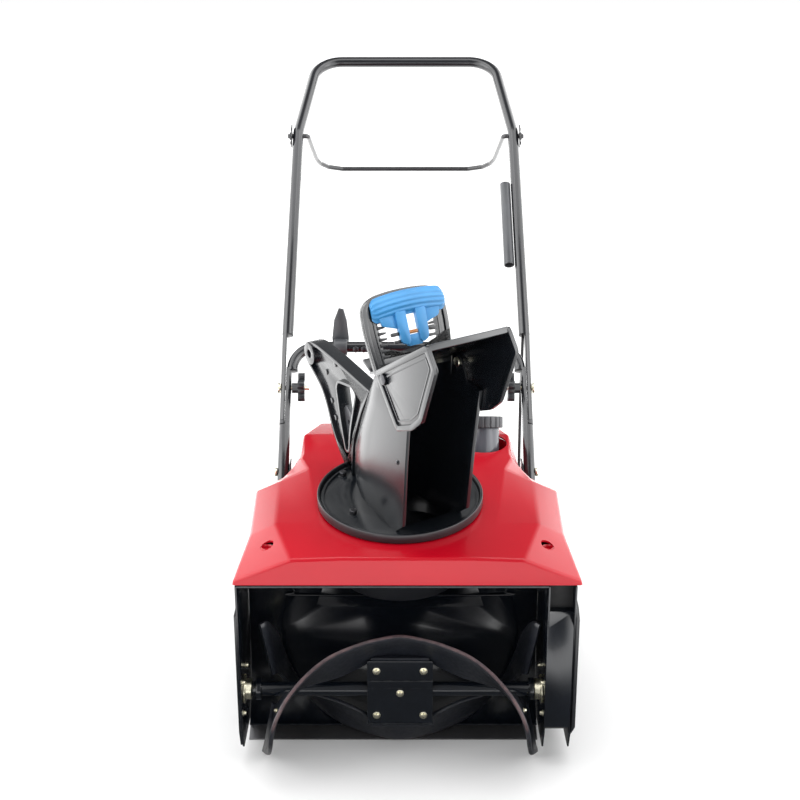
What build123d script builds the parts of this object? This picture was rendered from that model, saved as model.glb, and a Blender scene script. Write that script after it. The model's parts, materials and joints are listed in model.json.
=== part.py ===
"""Single stage snowblower, built piece by piece in millimetres.

+X is the right-hand side seen from the intake, +Y runs back towards the operator and +Z is up.
The origin is on the ground, at the centre of the scraper's lower face.
"""

import math
import os

from build123d import *

os.makedirs("parts", exist_ok=True)

# ---- driving dimensions -------------------------------------------------------------------
SHEET = 3.0  # steel sheet
PLAY = 0.05  # running clearance round a shaft
LEFT_WALL, RIGHT_WALL = -280.0, 232.0  # inner faces of the auger chamber
COVER_X = 276.0  # inner face of the right side plate
LIP_Y, LIP_Z = -96.5, 350.0  # upper front edge of the intake
CENTRE_X = -12.0  # rotor and chute centre, left of the belt drive

ROTOR_Y, ROTOR_Z, ROTOR_R = -47.0, 126.5, 124.0
CHAMBER_R = 130.0
SHAFT_R = 12.5
PADDLE_T = 7.0
PLATE_W, PLATE_H = 112.0, 124.0  # clamp plates at the rotor's middle

CHUTE_O = (CENTRE_X, 85.0, 421.0)
CHUTE_TILT = 7.0  # forward lean of the chute axis, degrees
CHUTE_TURN = 29.0  # heading of the chute at rest, degrees from straight ahead
NECK_R, RING_R = 117.0, 143.0
CHUTE_W = 68.0  # half width of the chute channel
PIVOT_A, PIVOT_H = 78.0, 284.0  # deflector hinge, ahead of and above the chute's origin

CRANK_Y, CRANK_Z, CRANK_R = 262.0, 252.0, 10.0
ROTOR_PULLEY_R, ENGINE_PULLEY_R, IDLER_R = 41.0, 17.0, 19.0
BELT_X, GROOVE = 255.0, 5.0
IDLER_PIVOT, IDLER_AXIS = (176.0, 133.0), (128.0, 137.0)

WHEEL_Y, WHEEL_R, WHEEL_X, WHEEL_W = 330.0, 101.5, 190.0, 44.0
AXLE_R = 8.0
FLOOR_Z, RAIL_X, SHELF_Z, EAR_X = 148.0, 150.0, 229.0, 219.5  # pressed engine frame

TUBE_R, PRESSED_R = 11.1, 10.8  # round tube, and its ends pressed half round
HANDLE_X, BEND_X = 234.0, 226.0
HANDLE_BASE, HANDLE_RAKE = (340.0, 375.0), 46.0  # y, z and slope of the handle line
LEG_END_L, UPPER_END_L, FOLD_L, BAR_TURN_L = -60.0, 97.0, 167.0, 206.0
CROSSBAR_L, SPLIT_L, BEND_L = 256.0, 282.0, 760.0
LOOP_RAKE, LOOP_L, LOOP_HALF = 31.0, 233.0, 193.0
LEVER_X = -129.0  # hand lever on the crossbar
TOOL_L0, TOOL_L1, TOOL_R = 440.0, 632.0, 10.5
BAIL_R, BAIL_PIVOT_L, BAIL_REACH, BAIL_DROP = 4.8, 750.0, 236.0, -28.0

TILT = math.radians(CHUTE_TILT)
CHUTE_UP = Vector(0, -math.sin(TILT), math.cos(TILT))


def save(piece, name):
    """Labels a finished piece and writes its STEP file."""
    piece.part.label = name
    export_step(piece.part, f"parts/{name}.step")


# ---- planes and small helpers -------------------------------------------------------------
def side(x):
    """Plane square to X at x: local x is +Y and local y is +Z."""
    return Plane(origin=(x, 0, 0), x_dir=(0, 1, 0), z_dir=(1, 0, 0))


def chute_level(h, turn=CHUTE_TURN):
    """Plane square to the chute axis at height h: local x to the right, local y to the back."""
    angle = math.radians(turn)
    back = Vector(0, math.cos(TILT), math.sin(TILT))
    x_dir = Vector(1, 0, 0) * math.cos(angle) + back * math.sin(angle)
    return Plane(origin=Vector(*CHUTE_O) + CHUTE_UP * h, x_dir=x_dir, z_dir=CHUTE_UP)


def chute_side(w):
    """Upright plane along the chute's heading, w to its right: local x forward, local y up."""
    level = chute_level(0)
    forward = -level.y_dir
    return Plane(origin=level.origin + level.x_dir * w, x_dir=forward, z_dir=-level.x_dir)


def handle_point(x, length, off=0.0):
    """A point along the raked handle line; off is measured square to it, towards the front."""
    a = math.radians(HANDLE_RAKE)
    y = HANDLE_BASE[0] + length * math.cos(a) - off * math.sin(a)
    z = HANDLE_BASE[1] + length * math.sin(a) + off * math.cos(a)
    return (x, y, z)


def rod(y, z, x0, x1, radius, bore=0.0, mode=Mode.ADD):
    """A round bar or sleeve along X, added to the part being built."""
    with BuildSketch(side(x0)) as section:
        with Locations((y, z)):
            Circle(radius)
            if bore:
                Circle(bore, mode=Mode.SUBTRACT)
    extrude(section.sketch, amount=x1 - x0, mode=mode)


def plate(plane, points, thickness, mode=Mode.ADD):
    """A flat polygon plate standing on a plane."""
    with BuildSketch(plane) as outline:
        Polygon(*points, align=None)
    extrude(outline.sketch, amount=thickness, mode=mode)


def block(x0, x1, y0, y1, z0, z1, mode=Mode.ADD):
    """A box given by its limits."""
    with BuildSketch(Plane.XY.offset(z0)) as base:
        with Locations(((x0 + x1) / 2, (y0 + y1) / 2)):
            Rectangle(x1 - x0, y1 - y0)
    extrude(base.sketch, amount=z1 - z0, mode=mode)


def pipe(points, corner, radius, wall=0.0, mode=Mode.ADD):
    """A round bar or tube swept along a polyline with rounded corners."""
    with BuildLine() as path:
        if corner:
            FilletPolyline(*points, radius=corner)
        else:
            Polyline(*points)
    with BuildSketch(Plane(origin=path.line @ 0, z_dir=path.line % 0)) as section:
        Circle(radius)
        if wall:
            Circle(radius - wall, mode=Mode.SUBTRACT)
    sweep(section.sketch, path=path.line, mode=mode)


# ---- auger housing ------------------------------------------------------------------------
FOOT_ANGLE = -58.0
SIDE_OUTLINE = [
    (-96, 346),
    (-86, 62),
    (-70, 26),
    (30, 20),
    (120, 40),
    (306, 160),
    (306, 315),
    (200, 325),
    (10, 341),
]


def chamber(grow, x0, x1, mode):
    """Round trough behind the rotor with the space above it, grown outward by an amount."""
    r = CHAMBER_R + grow
    foot, mid = math.radians(FOOT_ANGLE), math.radians(FOOT_ANGLE / 2)
    start = (ROTOR_Y + r * math.cos(foot), ROTOR_Z + r * math.sin(foot))
    half = (ROTOR_Y + r * math.cos(mid), ROTOR_Z + r * math.sin(mid))
    back, top = ROTOR_Y + r, LIP_Z - 2 * SHEET + grow
    with BuildSketch(side(x0)) as outline:
        with BuildLine():
            ThreePointArc(start, half, (back, ROTOR_Z))
            Polyline((back, ROTOR_Z), (back, top), (LIP_Y - grow, top), (LIP_Y - grow, start[1]), start)
        make_face()
    extrude(outline.sketch, amount=x1 - x0, mode=mode)


def throat(grow, top, mode):
    """Funnel from the chamber's back up to the round neck."""
    with BuildSketch(Plane.XY.offset(212 - grow)) as mouth:
        with Locations((CENTRE_X, 26)):
            Rectangle(300 + 2 * grow, 110 + 2 * grow)
    with BuildSketch(chute_level(-88, 0)) as neck:
        Circle(NECK_R - SHEET + grow)
    loft([mouth.sketch, neck.sketch], mode=mode)
    extrude(neck.sketch, amount=88 + top, mode=mode)


def auger_housing():
    """Sheet shell behind and over the rotor, with the funnel up to the neck."""
    with BuildPart() as piece:
        chamber(SHEET, LEFT_WALL + 0.2, RIGHT_WALL - 0.2, Mode.ADD)
        throat(SHEET, -12, Mode.ADD)
        chamber(0, LEFT_WALL - 1, RIGHT_WALL + 1, Mode.SUBTRACT)
        throat(0, 5, Mode.SUBTRACT)
        block(-400, 400, LIP_Y - 40, LIP_Y, 0, 500, Mode.SUBTRACT)
        block(-400, 400, LIP_Y - 40, 17, 0, LIP_Z - 20, Mode.SUBTRACT)
        block(-400, LEFT_WALL + 14, -40, 120, LIP_Z - 20, LIP_Z + 20, Mode.SUBTRACT)
    save(piece, "auger_housing")


def side_plate(name, x0, x1, bearing_hole):
    """Flat side plate with a stiffened front edge and a hole for the rotor shaft."""
    with BuildPart() as piece:
        plate(side(x0), SIDE_OUTLINE, x1 - x0)
        outer = x1 if x0 > 0 else x0 - 3.4
        if x0 < 0:
            plate(side(outer), [(-95.5, 292), (-87.6, 66), (-71, 30), (-52, 30), (-62, 66), (-66, 292)], 3.4)
        rod(ROTOR_Y, ROTOR_Z, x0 - 1, x1 + 1, bearing_hole, mode=Mode.SUBTRACT)
        if x0 > 0:
            rod(CRANK_Y, CRANK_Z, x0 - 1, x1 + 1, 16, mode=Mode.SUBTRACT)
    save(piece, name)


def scraper():
    """Replaceable wear strip along the chamber's lower edge."""
    with BuildPart() as piece:
        outline = [(-9, 0), (9, 0), (40, 14.4), (40, 18.2), (19, 11.0), (-9, 2.0)]
        plate(side(LEFT_WALL + 1), outline, RIGHT_WALL - LEFT_WALL - 2)
    save(piece, "scraper_blade")


def belt_case():
    """Tub standing inside the right end of the housing, open outwards, round the belt."""
    rim = [(-94.5, 80), (-94.5, 268), (-78, 292), (244, 313), (292, 296), (300, 206)]
    rim += [(240, 150), (120, 84), (40, 66), (-70, 62)]
    floor = [(-96, 346), (-86, 62), (-70, 26), (30, 20), (92, 34), (92, 346)]
    with BuildPart() as piece:
        plate(side(RIGHT_WALL), rim, COVER_X - 0.3 - RIGHT_WALL)
        with BuildSketch(side(RIGHT_WALL + SHEET)):
            Polygon(*rim, align=None)
            offset(amount=-SHEET, kind=Kind.INTERSECTION, mode=Mode.REPLACE)
        extrude(amount=60, mode=Mode.SUBTRACT)
        plate(side(RIGHT_WALL), floor, SHEET)
        rod(ROTOR_Y, ROTOR_Z, RIGHT_WALL - 1, RIGHT_WALL + 6, 20, mode=Mode.SUBTRACT)
        rod(CRANK_Y, CRANK_Z, RIGHT_WALL - 1, RIGHT_WALL + 6, 15, mode=Mode.SUBTRACT)
        rod(*IDLER_PIVOT, RIGHT_WALL + 1, COVER_X - 6, 5)
    save(piece, "belt_case")


def belt_cover():
    """Outer drive cover on the right side plate, with a raised rib round its edge."""
    base = COVER_X + SHEET + 0.2
    outline = [(-95, 74), (-95, 286), (-70, 300), (240, 316), (298, 296), (302, 200), (130, 62), (-66, 48)]
    with BuildPart() as piece:
        plate(side(base), outline, 3)
        with BuildSketch(side(base)):
            Polygon(*outline, align=None)
            offset(amount=-5, kind=Kind.INTERSECTION)
        extrude(amount=6.5)
        with BuildSketch(side(base + 3)):
            Polygon(*outline, align=None)
            offset(amount=-13, kind=Kind.INTERSECTION, mode=Mode.REPLACE)
        extrude(amount=10, mode=Mode.SUBTRACT)
    save(piece, "belt_cover")


def chute_ring():
    """Fixed collar: flange on the hood, raised rim and an apron down into the intake."""
    bore = NECK_R + 1.2
    with BuildPart() as piece:
        with BuildSketch(chute_level(1.6, 0)):
            Circle(RING_R)
            Circle(bore, mode=Mode.SUBTRACT)
        extrude(amount=4)
        with BuildSketch(chute_level(1.6, 0)):
            Circle(RING_R)
            Circle(RING_R - 4, mode=Mode.SUBTRACT)
        extrude(amount=16)
        with BuildSketch(chute_level(-11, 0)):
            Circle(bore + 5)
            Circle(bore, mode=Mode.SUBTRACT)
        extrude(amount=13)
    save(piece, "chute_ring")


def neck_apron():
    """Curved apron that hangs from the front of the neck into the intake."""
    with BuildPart() as piece:
        with BuildSketch(chute_level(-132, 0)):
            Circle(NECK_R - SHEET - 0.4)
            Circle(NECK_R - SHEET - 4.4, mode=Mode.SUBTRACT)
            with Locations((0, 70)):
                Rectangle(400, 190, mode=Mode.SUBTRACT)
        extrude(amount=120)
    save(piece, "neck_apron")


# ---- hood ---------------------------------------------------------------------------------
FILLER_X, FILLER_Y, FILLER_LEAN = 143.0, 306.0, 22.0
SCREW_X, SCREW_Y, SCREW_Z = 233.0, -38.0, 382.0
HOOD_SECTIONS = [  # y, then the half outline from the lower edge to the flat top
    (-98, (287, 350), (287, 357), (190, 396), (110, 399)),
    (10, (284, 345), (266, 391), (222, 411), (150, 410.5)),
    (200, (282, 330), (274, 388), (230, 407), (176, 432)),
    (242, (278, 325), (264, 376), (224, 398), (192, 436)),
    (258, (218, 322), (217, 374), (212, 398), (190, 438)),
    (345, (218, 318), (216, 354), (207, 392), (194, 442)),
    (450, (214, 312), (206, 345), (190, 376), (170, 424)),
]


def hood_solid(inset, mode):
    """Faceted cover as a solid; an inset moves every face in and opens it below and behind."""
    outlines = []
    for i, (y, *half) in enumerate(HOOD_SECTIONS):
        station = y + inset if i == 0 else y + (2 if i == len(HOOD_SECTIONS) - 1 and inset else 0)
        right = [(x - inset, z - (60 * (inset > 0) if n == 0 else inset)) for n, (x, z) in enumerate(half)]
        left = [(-x, z) for x, z in reversed(right)]
        with BuildSketch(Plane(origin=(0, station, 0), x_dir=(1, 0, 0), z_dir=(0, -1, 0))) as outline:
            Polygon(*right, *left, align=None)
        outlines.append(outline.sketch)
    loft(outlines, ruled=True, mode=mode)


def hood():
    """Thin faceted cover over the housing and engine, open below and behind."""
    with BuildPart() as piece:
        hood_solid(0, Mode.ADD)
        hood_solid(SHEET, Mode.SUBTRACT)
        with BuildSketch(chute_level(-60, 0)):
            Circle(NECK_R + 8.5)
        extrude(amount=90, mode=Mode.SUBTRACT)
        with BuildSketch(Plane.XY.offset(400)):
            with Locations((FILLER_X, FILLER_Y)):
                Circle(44)
        extrude(amount=60, mode=Mode.SUBTRACT)
        with BuildSketch(Plane.XY.offset(350)):
            with Locations((-SCREW_X, SCREW_Y), (SCREW_X, SCREW_Y)):
                Circle(11)
        extrude(amount=80, mode=Mode.SUBTRACT)
    save(piece, "hood")


def hood_screws():
    """Coloured cup washers and screws at the hood's front corners."""
    with BuildPart() as piece:
        for x in (-SCREW_X, SCREW_X):
            with BuildSketch(Plane.XY.offset(SCREW_Z)):
                with Locations((x, SCREW_Y)):
                    Circle(10.6)
            extrude(amount=5)
            with BuildSketch(Plane.XY.offset(SCREW_Z + 5)):
                with Locations((x, SCREW_Y)):
                    RegularPolygon(6.5, 6)
            extrude(amount=5)
            with BuildSketch(Plane.XY.offset(LIP_Z)):
                with Locations((x, SCREW_Y)):
                    Circle(3.2)
            extrude(amount=SCREW_Z - LIP_Z + 1)
    save(piece, "hood_screws")


# ---- belt drive ---------------------------------------------------------------------------
def grooved_wheel(name, y, z, radius, bore):
    """V pulley turned about X, keyed to its shaft."""
    half, root = 9.0, radius - GROOVE
    outline = [(-half, bore), (half, bore), (half, radius), (3, root), (-3, root), (-half, radius)]
    with BuildPart() as piece:
        with BuildSketch(Plane(origin=(BELT_X, y, z), x_dir=(1, 0, 0), z_dir=(0, -1, 0))):
            Polygon(*outline, align=None)
        revolve(axis=Axis((0, y, z), (1, 0, 0)))
    save(piece, name)


def drive_belt():
    """Endless rubber belt lying slack round both pulleys."""
    with BuildPart() as piece:
        for grow, mode in ((-0.4, Mode.ADD), (0.6 - GROOVE, Mode.SUBTRACT)):
            with BuildSketch(side(BELT_X - 3)):
                with Locations((ROTOR_Y, ROTOR_Z)):
                    Circle(ROTOR_PULLEY_R + grow)
                with Locations((CRANK_Y, CRANK_Z)):
                    Circle(ENGINE_PULLEY_R + grow)
                make_hull()
            extrude(amount=6, mode=mode)
    save(piece, "drive_belt")


def idler():
    """Sprung arm with a flat wheel that tightens the belt, and its torsion spring."""
    x = BELT_X + 11
    with BuildPart() as arm:
        with BuildSketch(side(x)):
            with Locations(IDLER_PIVOT):
                Circle(9)
            with Locations(IDLER_AXIS):
                Circle(8)
            make_hull()
            with Locations(IDLER_PIVOT):
                Circle(5 + PLAY, mode=Mode.SUBTRACT)
        extrude(amount=3)
        rod(*IDLER_AXIS, x - 21, x, 4)
    save(arm, "idler_arm")
    with BuildPart() as wheel:
        rod(*IDLER_AXIS, BELT_X - 7, BELT_X + 7, IDLER_R, 4 + PLAY)
        chamfer(wheel.edges().filter_by(GeomType.CIRCLE).group_by(SortBy.RADIUS)[-1], 1.5)
    save(wheel, "idler_pulley")
    with BuildPart() as spring:
        with BuildLine() as coil:
            Helix(3.2, 16, 7, center=(x - 20, *IDLER_PIVOT), direction=(1, 0, 0))
        with BuildSketch(Plane(origin=coil.line @ 0, z_dir=coil.line % 0)):
            Circle(1.0)
        sweep(path=coil.line, is_frenet=True)
    save(spring, "idler_spring")


# ---- rotor --------------------------------------------------------------------------------
PADDLE_EDGES = [  # from the middle to one tip: outer edge x, heading and radius, then the inner edge
    (0, 75, 124, 0, 92, 64),
    (39, 71, 124, 36, 92, 62),
    (75, 65, 124, 68, 88, 45),
    (117, 55, 124, 105, 72, 32),
    (153, 41, 124, 140, 55, 27),
    (182, 25, 124, 167, 38, 26),
    (200, 10, 124, 184, 20, 26),
    (211, -5, 122, 195, 5, 26),
    (216, -25, 111, 202, -15, 26),
    (220, -48, 105, 207, -38, 26),
    (225, -70, 113, 211, -60, 26),
    (230, -82, 122, 214, -76, 26),
    (238, -86, 120, 219, -84, 26),
]


def rotor_shaft():
    """Round shaft with welded collars, running through both bearings to the pulley."""
    with BuildPart() as piece:
        rod(ROTOR_Y, ROTOR_Z, LEFT_WALL + 4, BELT_X + 13, SHAFT_R)
        for x in (LEFT_WALL + 22, RIGHT_WALL - 24):
            rod(ROTOR_Y, ROTOR_Z, x, x + 9, 19)
    save(piece, "rotor_shaft")


def bearings():
    """Two flanged bearings, one bolted inside the left plate and one on the belt case."""
    with BuildPart() as piece:
        for x0, flange in ((LEFT_WALL + 0.2, LEFT_WALL + 0.2), (RIGHT_WALL - 14.2, RIGHT_WALL - 4.2)):
            rod(ROTOR_Y, ROTOR_Z, x0, x0 + 14, 18, SHAFT_R + PLAY)
            rod(ROTOR_Y, ROTOR_Z, flange, flange + 4, 25, 16)
    save(piece, "rotor_bearings")


def paddle(name, phase):
    """Curved rubber scoop that winds from the ends of the rotor up to its middle."""
    stations = [(-x, a, r, -xi, ai, ri) for x, a, r, xi, ai, ri in reversed(PADDLE_EDGES[1:])] + PADDLE_EDGES
    flip = 1 if phase == 0 else -1

    def at(x, heading, radius):
        a = math.radians(heading)
        return Vector(x, -radius * math.cos(a) * flip, radius * math.sin(a) * flip)

    edges = [(at(*row[:3]), at(*row[3:])) for row in stations]
    middles = [(outer + inner) * 0.5 for outer, inner in edges]
    with BuildPart() as piece:
        for i, (outer, inner) in enumerate(edges):
            across = (outer - inner).normalized()
            run = middles[min(i + 1, len(edges) - 1)] - middles[max(i - 1, 0)]
            run = run - across * run.dot(across)
            middle = middles[i] + Vector(CENTRE_X, ROTOR_Y, ROTOR_Z)
            with BuildSketch(Plane(origin=middle, x_dir=across, z_dir=run)):
                RectangleRounded((outer - inner).length, PADDLE_T, PADDLE_T * 0.42)
        loft(ruled=True)
        clamp = PLATE_W / 2 + 1, SHAFT_R + 3, PLATE_H / 2 + 1
        block(
            CENTRE_X - clamp[0],
            CENTRE_X + clamp[0],
            ROTOR_Y - clamp[1],
            ROTOR_Y + clamp[1],
            ROTOR_Z - clamp[2],
            ROTOR_Z + clamp[2],
            Mode.SUBTRACT,
        )
        z0, z1 = sorted((ROTOR_Z + flip * (SHAFT_R + 1), ROTOR_Z + flip * (clamp[2] + 4)))
        block(CENTRE_X - 50, CENTRE_X + 50, ROTOR_Y - SHAFT_R, ROTOR_Y + SHAFT_R, z0, z1)
    save(piece, name)


def centre_plates():
    """Pair of pressed plates that clamp both paddles to the shaft at mid length."""
    with BuildPart() as piece:
        for front in (True, False):
            y = ROTOR_Y - SHAFT_R - 2.6 if front else ROTOR_Y + SHAFT_R + 0.1
            with BuildSketch(Plane(origin=(CENTRE_X, y, ROTOR_Z), x_dir=(1, 0, 0), z_dir=(0, 1, 0))):
                RectangleRounded(PLATE_W, PLATE_H, 5)
            extrude(amount=2.5)
    save(piece, "paddle_plates")


def paddle_bolts():
    """Five bolts through the centre plates."""
    with BuildPart() as piece:
        spots = [(-40, 43), (40, 43), (-40, -43), (40, -43), (0, 0)]
        front = ROTOR_Y - SHAFT_R - 2.8
        for dx, dz in spots:
            with BuildSketch(Plane(origin=(CENTRE_X + dx, front, ROTOR_Z + dz), z_dir=(0, -1, 0))):
                Circle(6.5)
            extrude(amount=5)
    save(piece, "paddle_bolts")


# ---- engine and frame ---------------------------------------------------------------------
def engine_frame():
    """Pressed tray under the engine, with shelves over the wheels and ears for the handle."""
    back, front, rear = 86.3, 222.0, 470.0
    with BuildPart() as piece:
        block(-RAIL_X - 3, RAIL_X + 3, back, rear, FLOOR_Z, FLOOR_Z + 3)
        for s in (-1, 1):
            inner, outer = sorted((s * RAIL_X, s * (RAIL_X + 3)))
            block(inner, outer, back, rear, 86, FLOOR_Z)
            block(inner, outer, front, rear, FLOOR_Z, SHELF_Z + 3)
            shelf = sorted((s * RAIL_X, s * (EAR_X + 3)))
            block(*shelf, front, rear, SHELF_Z, SHELF_Z + 3)
            ear = sorted((s * EAR_X, s * (EAR_X + 3)))
            plate(side(ear[0]), [(284, 230), (420, 230), (372, 382), (338, 382), (300, 336)], 3)
            hub = sorted((s * (RAIL_X - 4), s * (RAIL_X + 7)))
            rod(WHEEL_Y, WHEEL_R, *hub, 14)
        rod(WHEEL_Y, WHEEL_R, -RAIL_X - 10, RAIL_X + 10, AXLE_R + PLAY, mode=Mode.SUBTRACT)
    save(piece, "engine_frame")


def wheels():
    """Axle, two rims with hubs and spokes, and two treaded tyres."""
    with BuildPart() as axle:
        rod(WHEEL_Y, WHEEL_R, -217, 217, AXLE_R)
        for x in (-216, 213.4):
            rod(WHEEL_Y, WHEEL_R, x, x + 2.6, 13)
    save(axle, "wheel_axle")
    for name, s in (("left", -1), ("right", 1)):
        x0 = s * WHEEL_X - WHEEL_W / 2
        with BuildPart() as rim:
            rod(WHEEL_Y, WHEEL_R, x0 + 1, x0 + WHEEL_W - 1, 20, AXLE_R + PLAY)
            rod(WHEEL_Y, WHEEL_R, x0 + 4, x0 + WHEEL_W - 4, 70, 62)
            rod(WHEEL_Y, WHEEL_R, x0 + WHEEL_W / 2 - 4, x0 + WHEEL_W / 2 + 4, 64, 18)
            for k in range(6):
                hole = (WHEEL_Y + 41 * math.cos(k * math.pi / 3), WHEEL_R + 41 * math.sin(k * math.pi / 3))
                rod(*hole, x0, x0 + WHEEL_W, 13, mode=Mode.SUBTRACT)
        save(rim, f"{name}_rim")
        with BuildPart() as tyre:
            rod(WHEEL_Y, WHEEL_R, x0, x0 + WHEEL_W, WHEEL_R - 5, 70)
            chamfer(tyre.edges().filter_by(GeomType.CIRCLE).group_by(SortBy.RADIUS)[-1], 5)
            with BuildSketch(side(x0 + 4)):
                with Locations((WHEEL_Y, WHEEL_R)):
                    with PolarLocations(WHEEL_R - 5, 24, start_angle=7.5):
                        Rectangle(10, 12)
            extrude(amount=WHEEL_W - 8)
            rod(WHEEL_Y, WHEEL_R, x0 - 1, x0 + WHEEL_W + 1, 140, WHEEL_R, mode=Mode.SUBTRACT)
        save(tyre, f"{name}_tyre")


def engine_block():
    """Crankcase with a finned cylinder laid back towards the operator and its rocker cover."""
    with BuildPart() as piece:
        block(-58, 118, 212, 318, FLOOR_Z + 3.2, 304)
        fillet(piece.edges().filter_by(Axis.X), 14)
        with BuildSketch(Plane(origin=(30, 318, 222), x_dir=(1, 0, 0), z_dir=(0, 1, 0))):
            RectangleRounded(84, 84, 18)
        extrude(amount=100)
        with BuildSketch(Plane(origin=(30, 326, 222), x_dir=(1, 0, 0), z_dir=(0, 1, 0))):
            RectangleRounded(98, 100, 12)
        for k in range(7):
            with BuildSketch(Plane(origin=(30, 328 + 11 * k, 222), x_dir=(1, 0, 0), z_dir=(0, 1, 0))):
                RectangleRounded(100, 104, 10)
            extrude(amount=3)
        with BuildSketch(Plane(origin=(30, 416, 222), x_dir=(1, 0, 0), z_dir=(0, 1, 0))) as cover:
            RectangleRounded(72, 66, 14)
        extrude(cover.sketch, amount=22)
        with BuildSketch(Plane(origin=(-8, 416, 262), x_dir=(1, 0, 0), z_dir=(0, 1, 0))) as plug:
            RegularPolygon(9, 6)
        extrude(plug.sketch, amount=11)
        with BuildSketch(Plane(origin=(-8, 426, 262), x_dir=(1, 0, 0), z_dir=(0, 1, 0))) as boot:
            Circle(8)
        extrude(boot.sketch, amount=20)
        rod(CRANK_Y, CRANK_Z, 110, 142, 24)
        rod(CRANK_Y, CRANK_Z, -64, 146, CRANK_R + PLAY, mode=Mode.SUBTRACT)
    save(piece, "engine_block")


def crankshaft():
    """Crankshaft through the engine with the finned flywheel on its left end."""
    with BuildPart() as piece:
        rod(CRANK_Y, CRANK_Z, -100, BELT_X + 12, CRANK_R)
        rod(CRANK_Y, CRANK_Z, -86, -72, 72)
        rod(CRANK_Y, CRANK_Z, -94, -66, 22)
        with BuildSketch(side(-98)) as fins:
            with Locations((CRANK_Y, CRANK_Z)):
                with PolarLocations(54, 16):
                    Rectangle(28, 3)
        extrude(fins.sketch, amount=13)
    save(piece, "crankshaft")


def engine_shroud():
    """Blower housing round the flywheel with a slotted face over the rewind reel."""
    with BuildPart() as piece:
        rod(CRANK_Y, CRANK_Z, -143, -62, 82)
        fillet(piece.edges().filter_by(GeomType.CIRCLE).sort_by(Axis.X)[0], 12)
        rod(CRANK_Y, CRANK_Z, -139.5, -128, 70, mode=Mode.SUBTRACT)
        rod(CRANK_Y, CRANK_Z, -130, -61, 79, mode=Mode.SUBTRACT)
        with BuildSketch(side(-145)):
            with Locations((CRANK_Y, CRANK_Z)):
                with PolarLocations(50, 14):
                    SlotCenterToCenter(24, 5)
        extrude(amount=8, mode=Mode.SUBTRACT)
        rod(CRANK_Y, CRANK_Z, -140, -112, 26)
    save(piece, "engine_shroud")


REEL_X, PULL_Z = -100.0, 366.0


def recoil():
    """Pull grip of the rewind starter, resting in its cup at the back."""
    with BuildPart() as grip:
        with BuildSketch(Plane(origin=(REEL_X, 463, PULL_Z), x_dir=(1, 0, 0), z_dir=(0, 1, 0))):
            SlotCenterToCenter(66, 22)
        extrude(amount=20)
        fillet(grip.edges().filter_by(Axis.X), 5)
        with BuildSketch(Plane(origin=(REEL_X, 420, PULL_Z), x_dir=(1, 0, 0), z_dir=(0, 1, 0))):
            Circle(2.5)
        extrude(amount=44)
    save(grip, "recoil_grip")


def tank():
    """Moulded fuel tank with a leaning filler neck, and its cap."""
    lean = math.radians(FILLER_LEAN)
    axis = Vector(0, math.sin(lean), math.cos(lean))
    root = Vector(FILLER_X, FILLER_Y - 14, 396)
    with BuildPart() as body:
        block(56, 192, 236, 384, 322, 390)
        fillet(body.edges().filter_by(Axis.Z), 20)
        fillet(body.faces().sort_by(Axis.Z)[-1].edges(), 10)
        with BuildSketch(Plane(origin=root - axis * 14, z_dir=axis)):
            Circle(30)
        extrude(amount=88)
        with BuildSketch(Plane(origin=root + axis * 60, z_dir=axis)):
            Circle(25)
        extrude(amount=16, mode=Mode.SUBTRACT)
    save(body, "fuel_tank")
    with BuildPart() as cap:
        with BuildSketch(Plane(origin=root + axis * 74.4, z_dir=axis)):
            Circle(37)
            with PolarLocations(37.5, 20):
                Circle(2.4, mode=Mode.SUBTRACT)
        extrude(amount=21)
        fillet(cap.faces().sort_by(Axis((0, 0, 0), tuple(axis)))[-1].edges(), 2)
        with BuildSketch(Plane(origin=root + axis * 62, z_dir=axis)):
            Circle(25 - 0.06)
        extrude(amount=13)
    save(cap, "fuel_cap")


def exhaust():
    """Box muffler beside the cylinder."""
    with BuildPart() as can:
        block(92, 140, 330, 440, 170, 296)
        fillet(can.edges().filter_by(Axis.Y), 16)
        block(84, 93, 350, 372, 200, 226)
    save(can, "muffler")


def carburettor():
    """Carburettor on the cylinder's left side with its heater box."""
    with BuildPart() as piece:
        block(-112, -52, 346, 410, 176, 250)
        fillet(piece.edges().filter_by(Axis.X), 10)
        block(-54, -20.4, 354, 400, 196, 238)
        rod(376, 186, -50, -26, 18)
    save(piece, "carburettor")


PANEL_Y = 452.0
BULB, KEY, CHOKE = (0.0, 350.0), (50.0, 350.0), (100.0, 350.0)


def rear_panel():
    """Upright plate behind the engine that carries the starting controls."""
    with BuildPart() as panel:
        block(-150, 150, PANEL_Y, PANEL_Y + 3, 310, 404)
        block(-150, -60, PANEL_Y, PANEL_Y + 3, SHELF_Z + 3.2, 312)
        for (x, z), r in ((BULB, 15), (KEY, 6), (CHOKE, 6), ((REEL_X, PULL_Z), 8)):
            with BuildSketch(Plane(origin=(x, PANEL_Y - 1, z), x_dir=(1, 0, 0), z_dir=(0, 1, 0))):
                Circle(r + PLAY)
            extrude(amount=5, mode=Mode.SUBTRACT)
    save(panel, "rear_panel")


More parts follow.
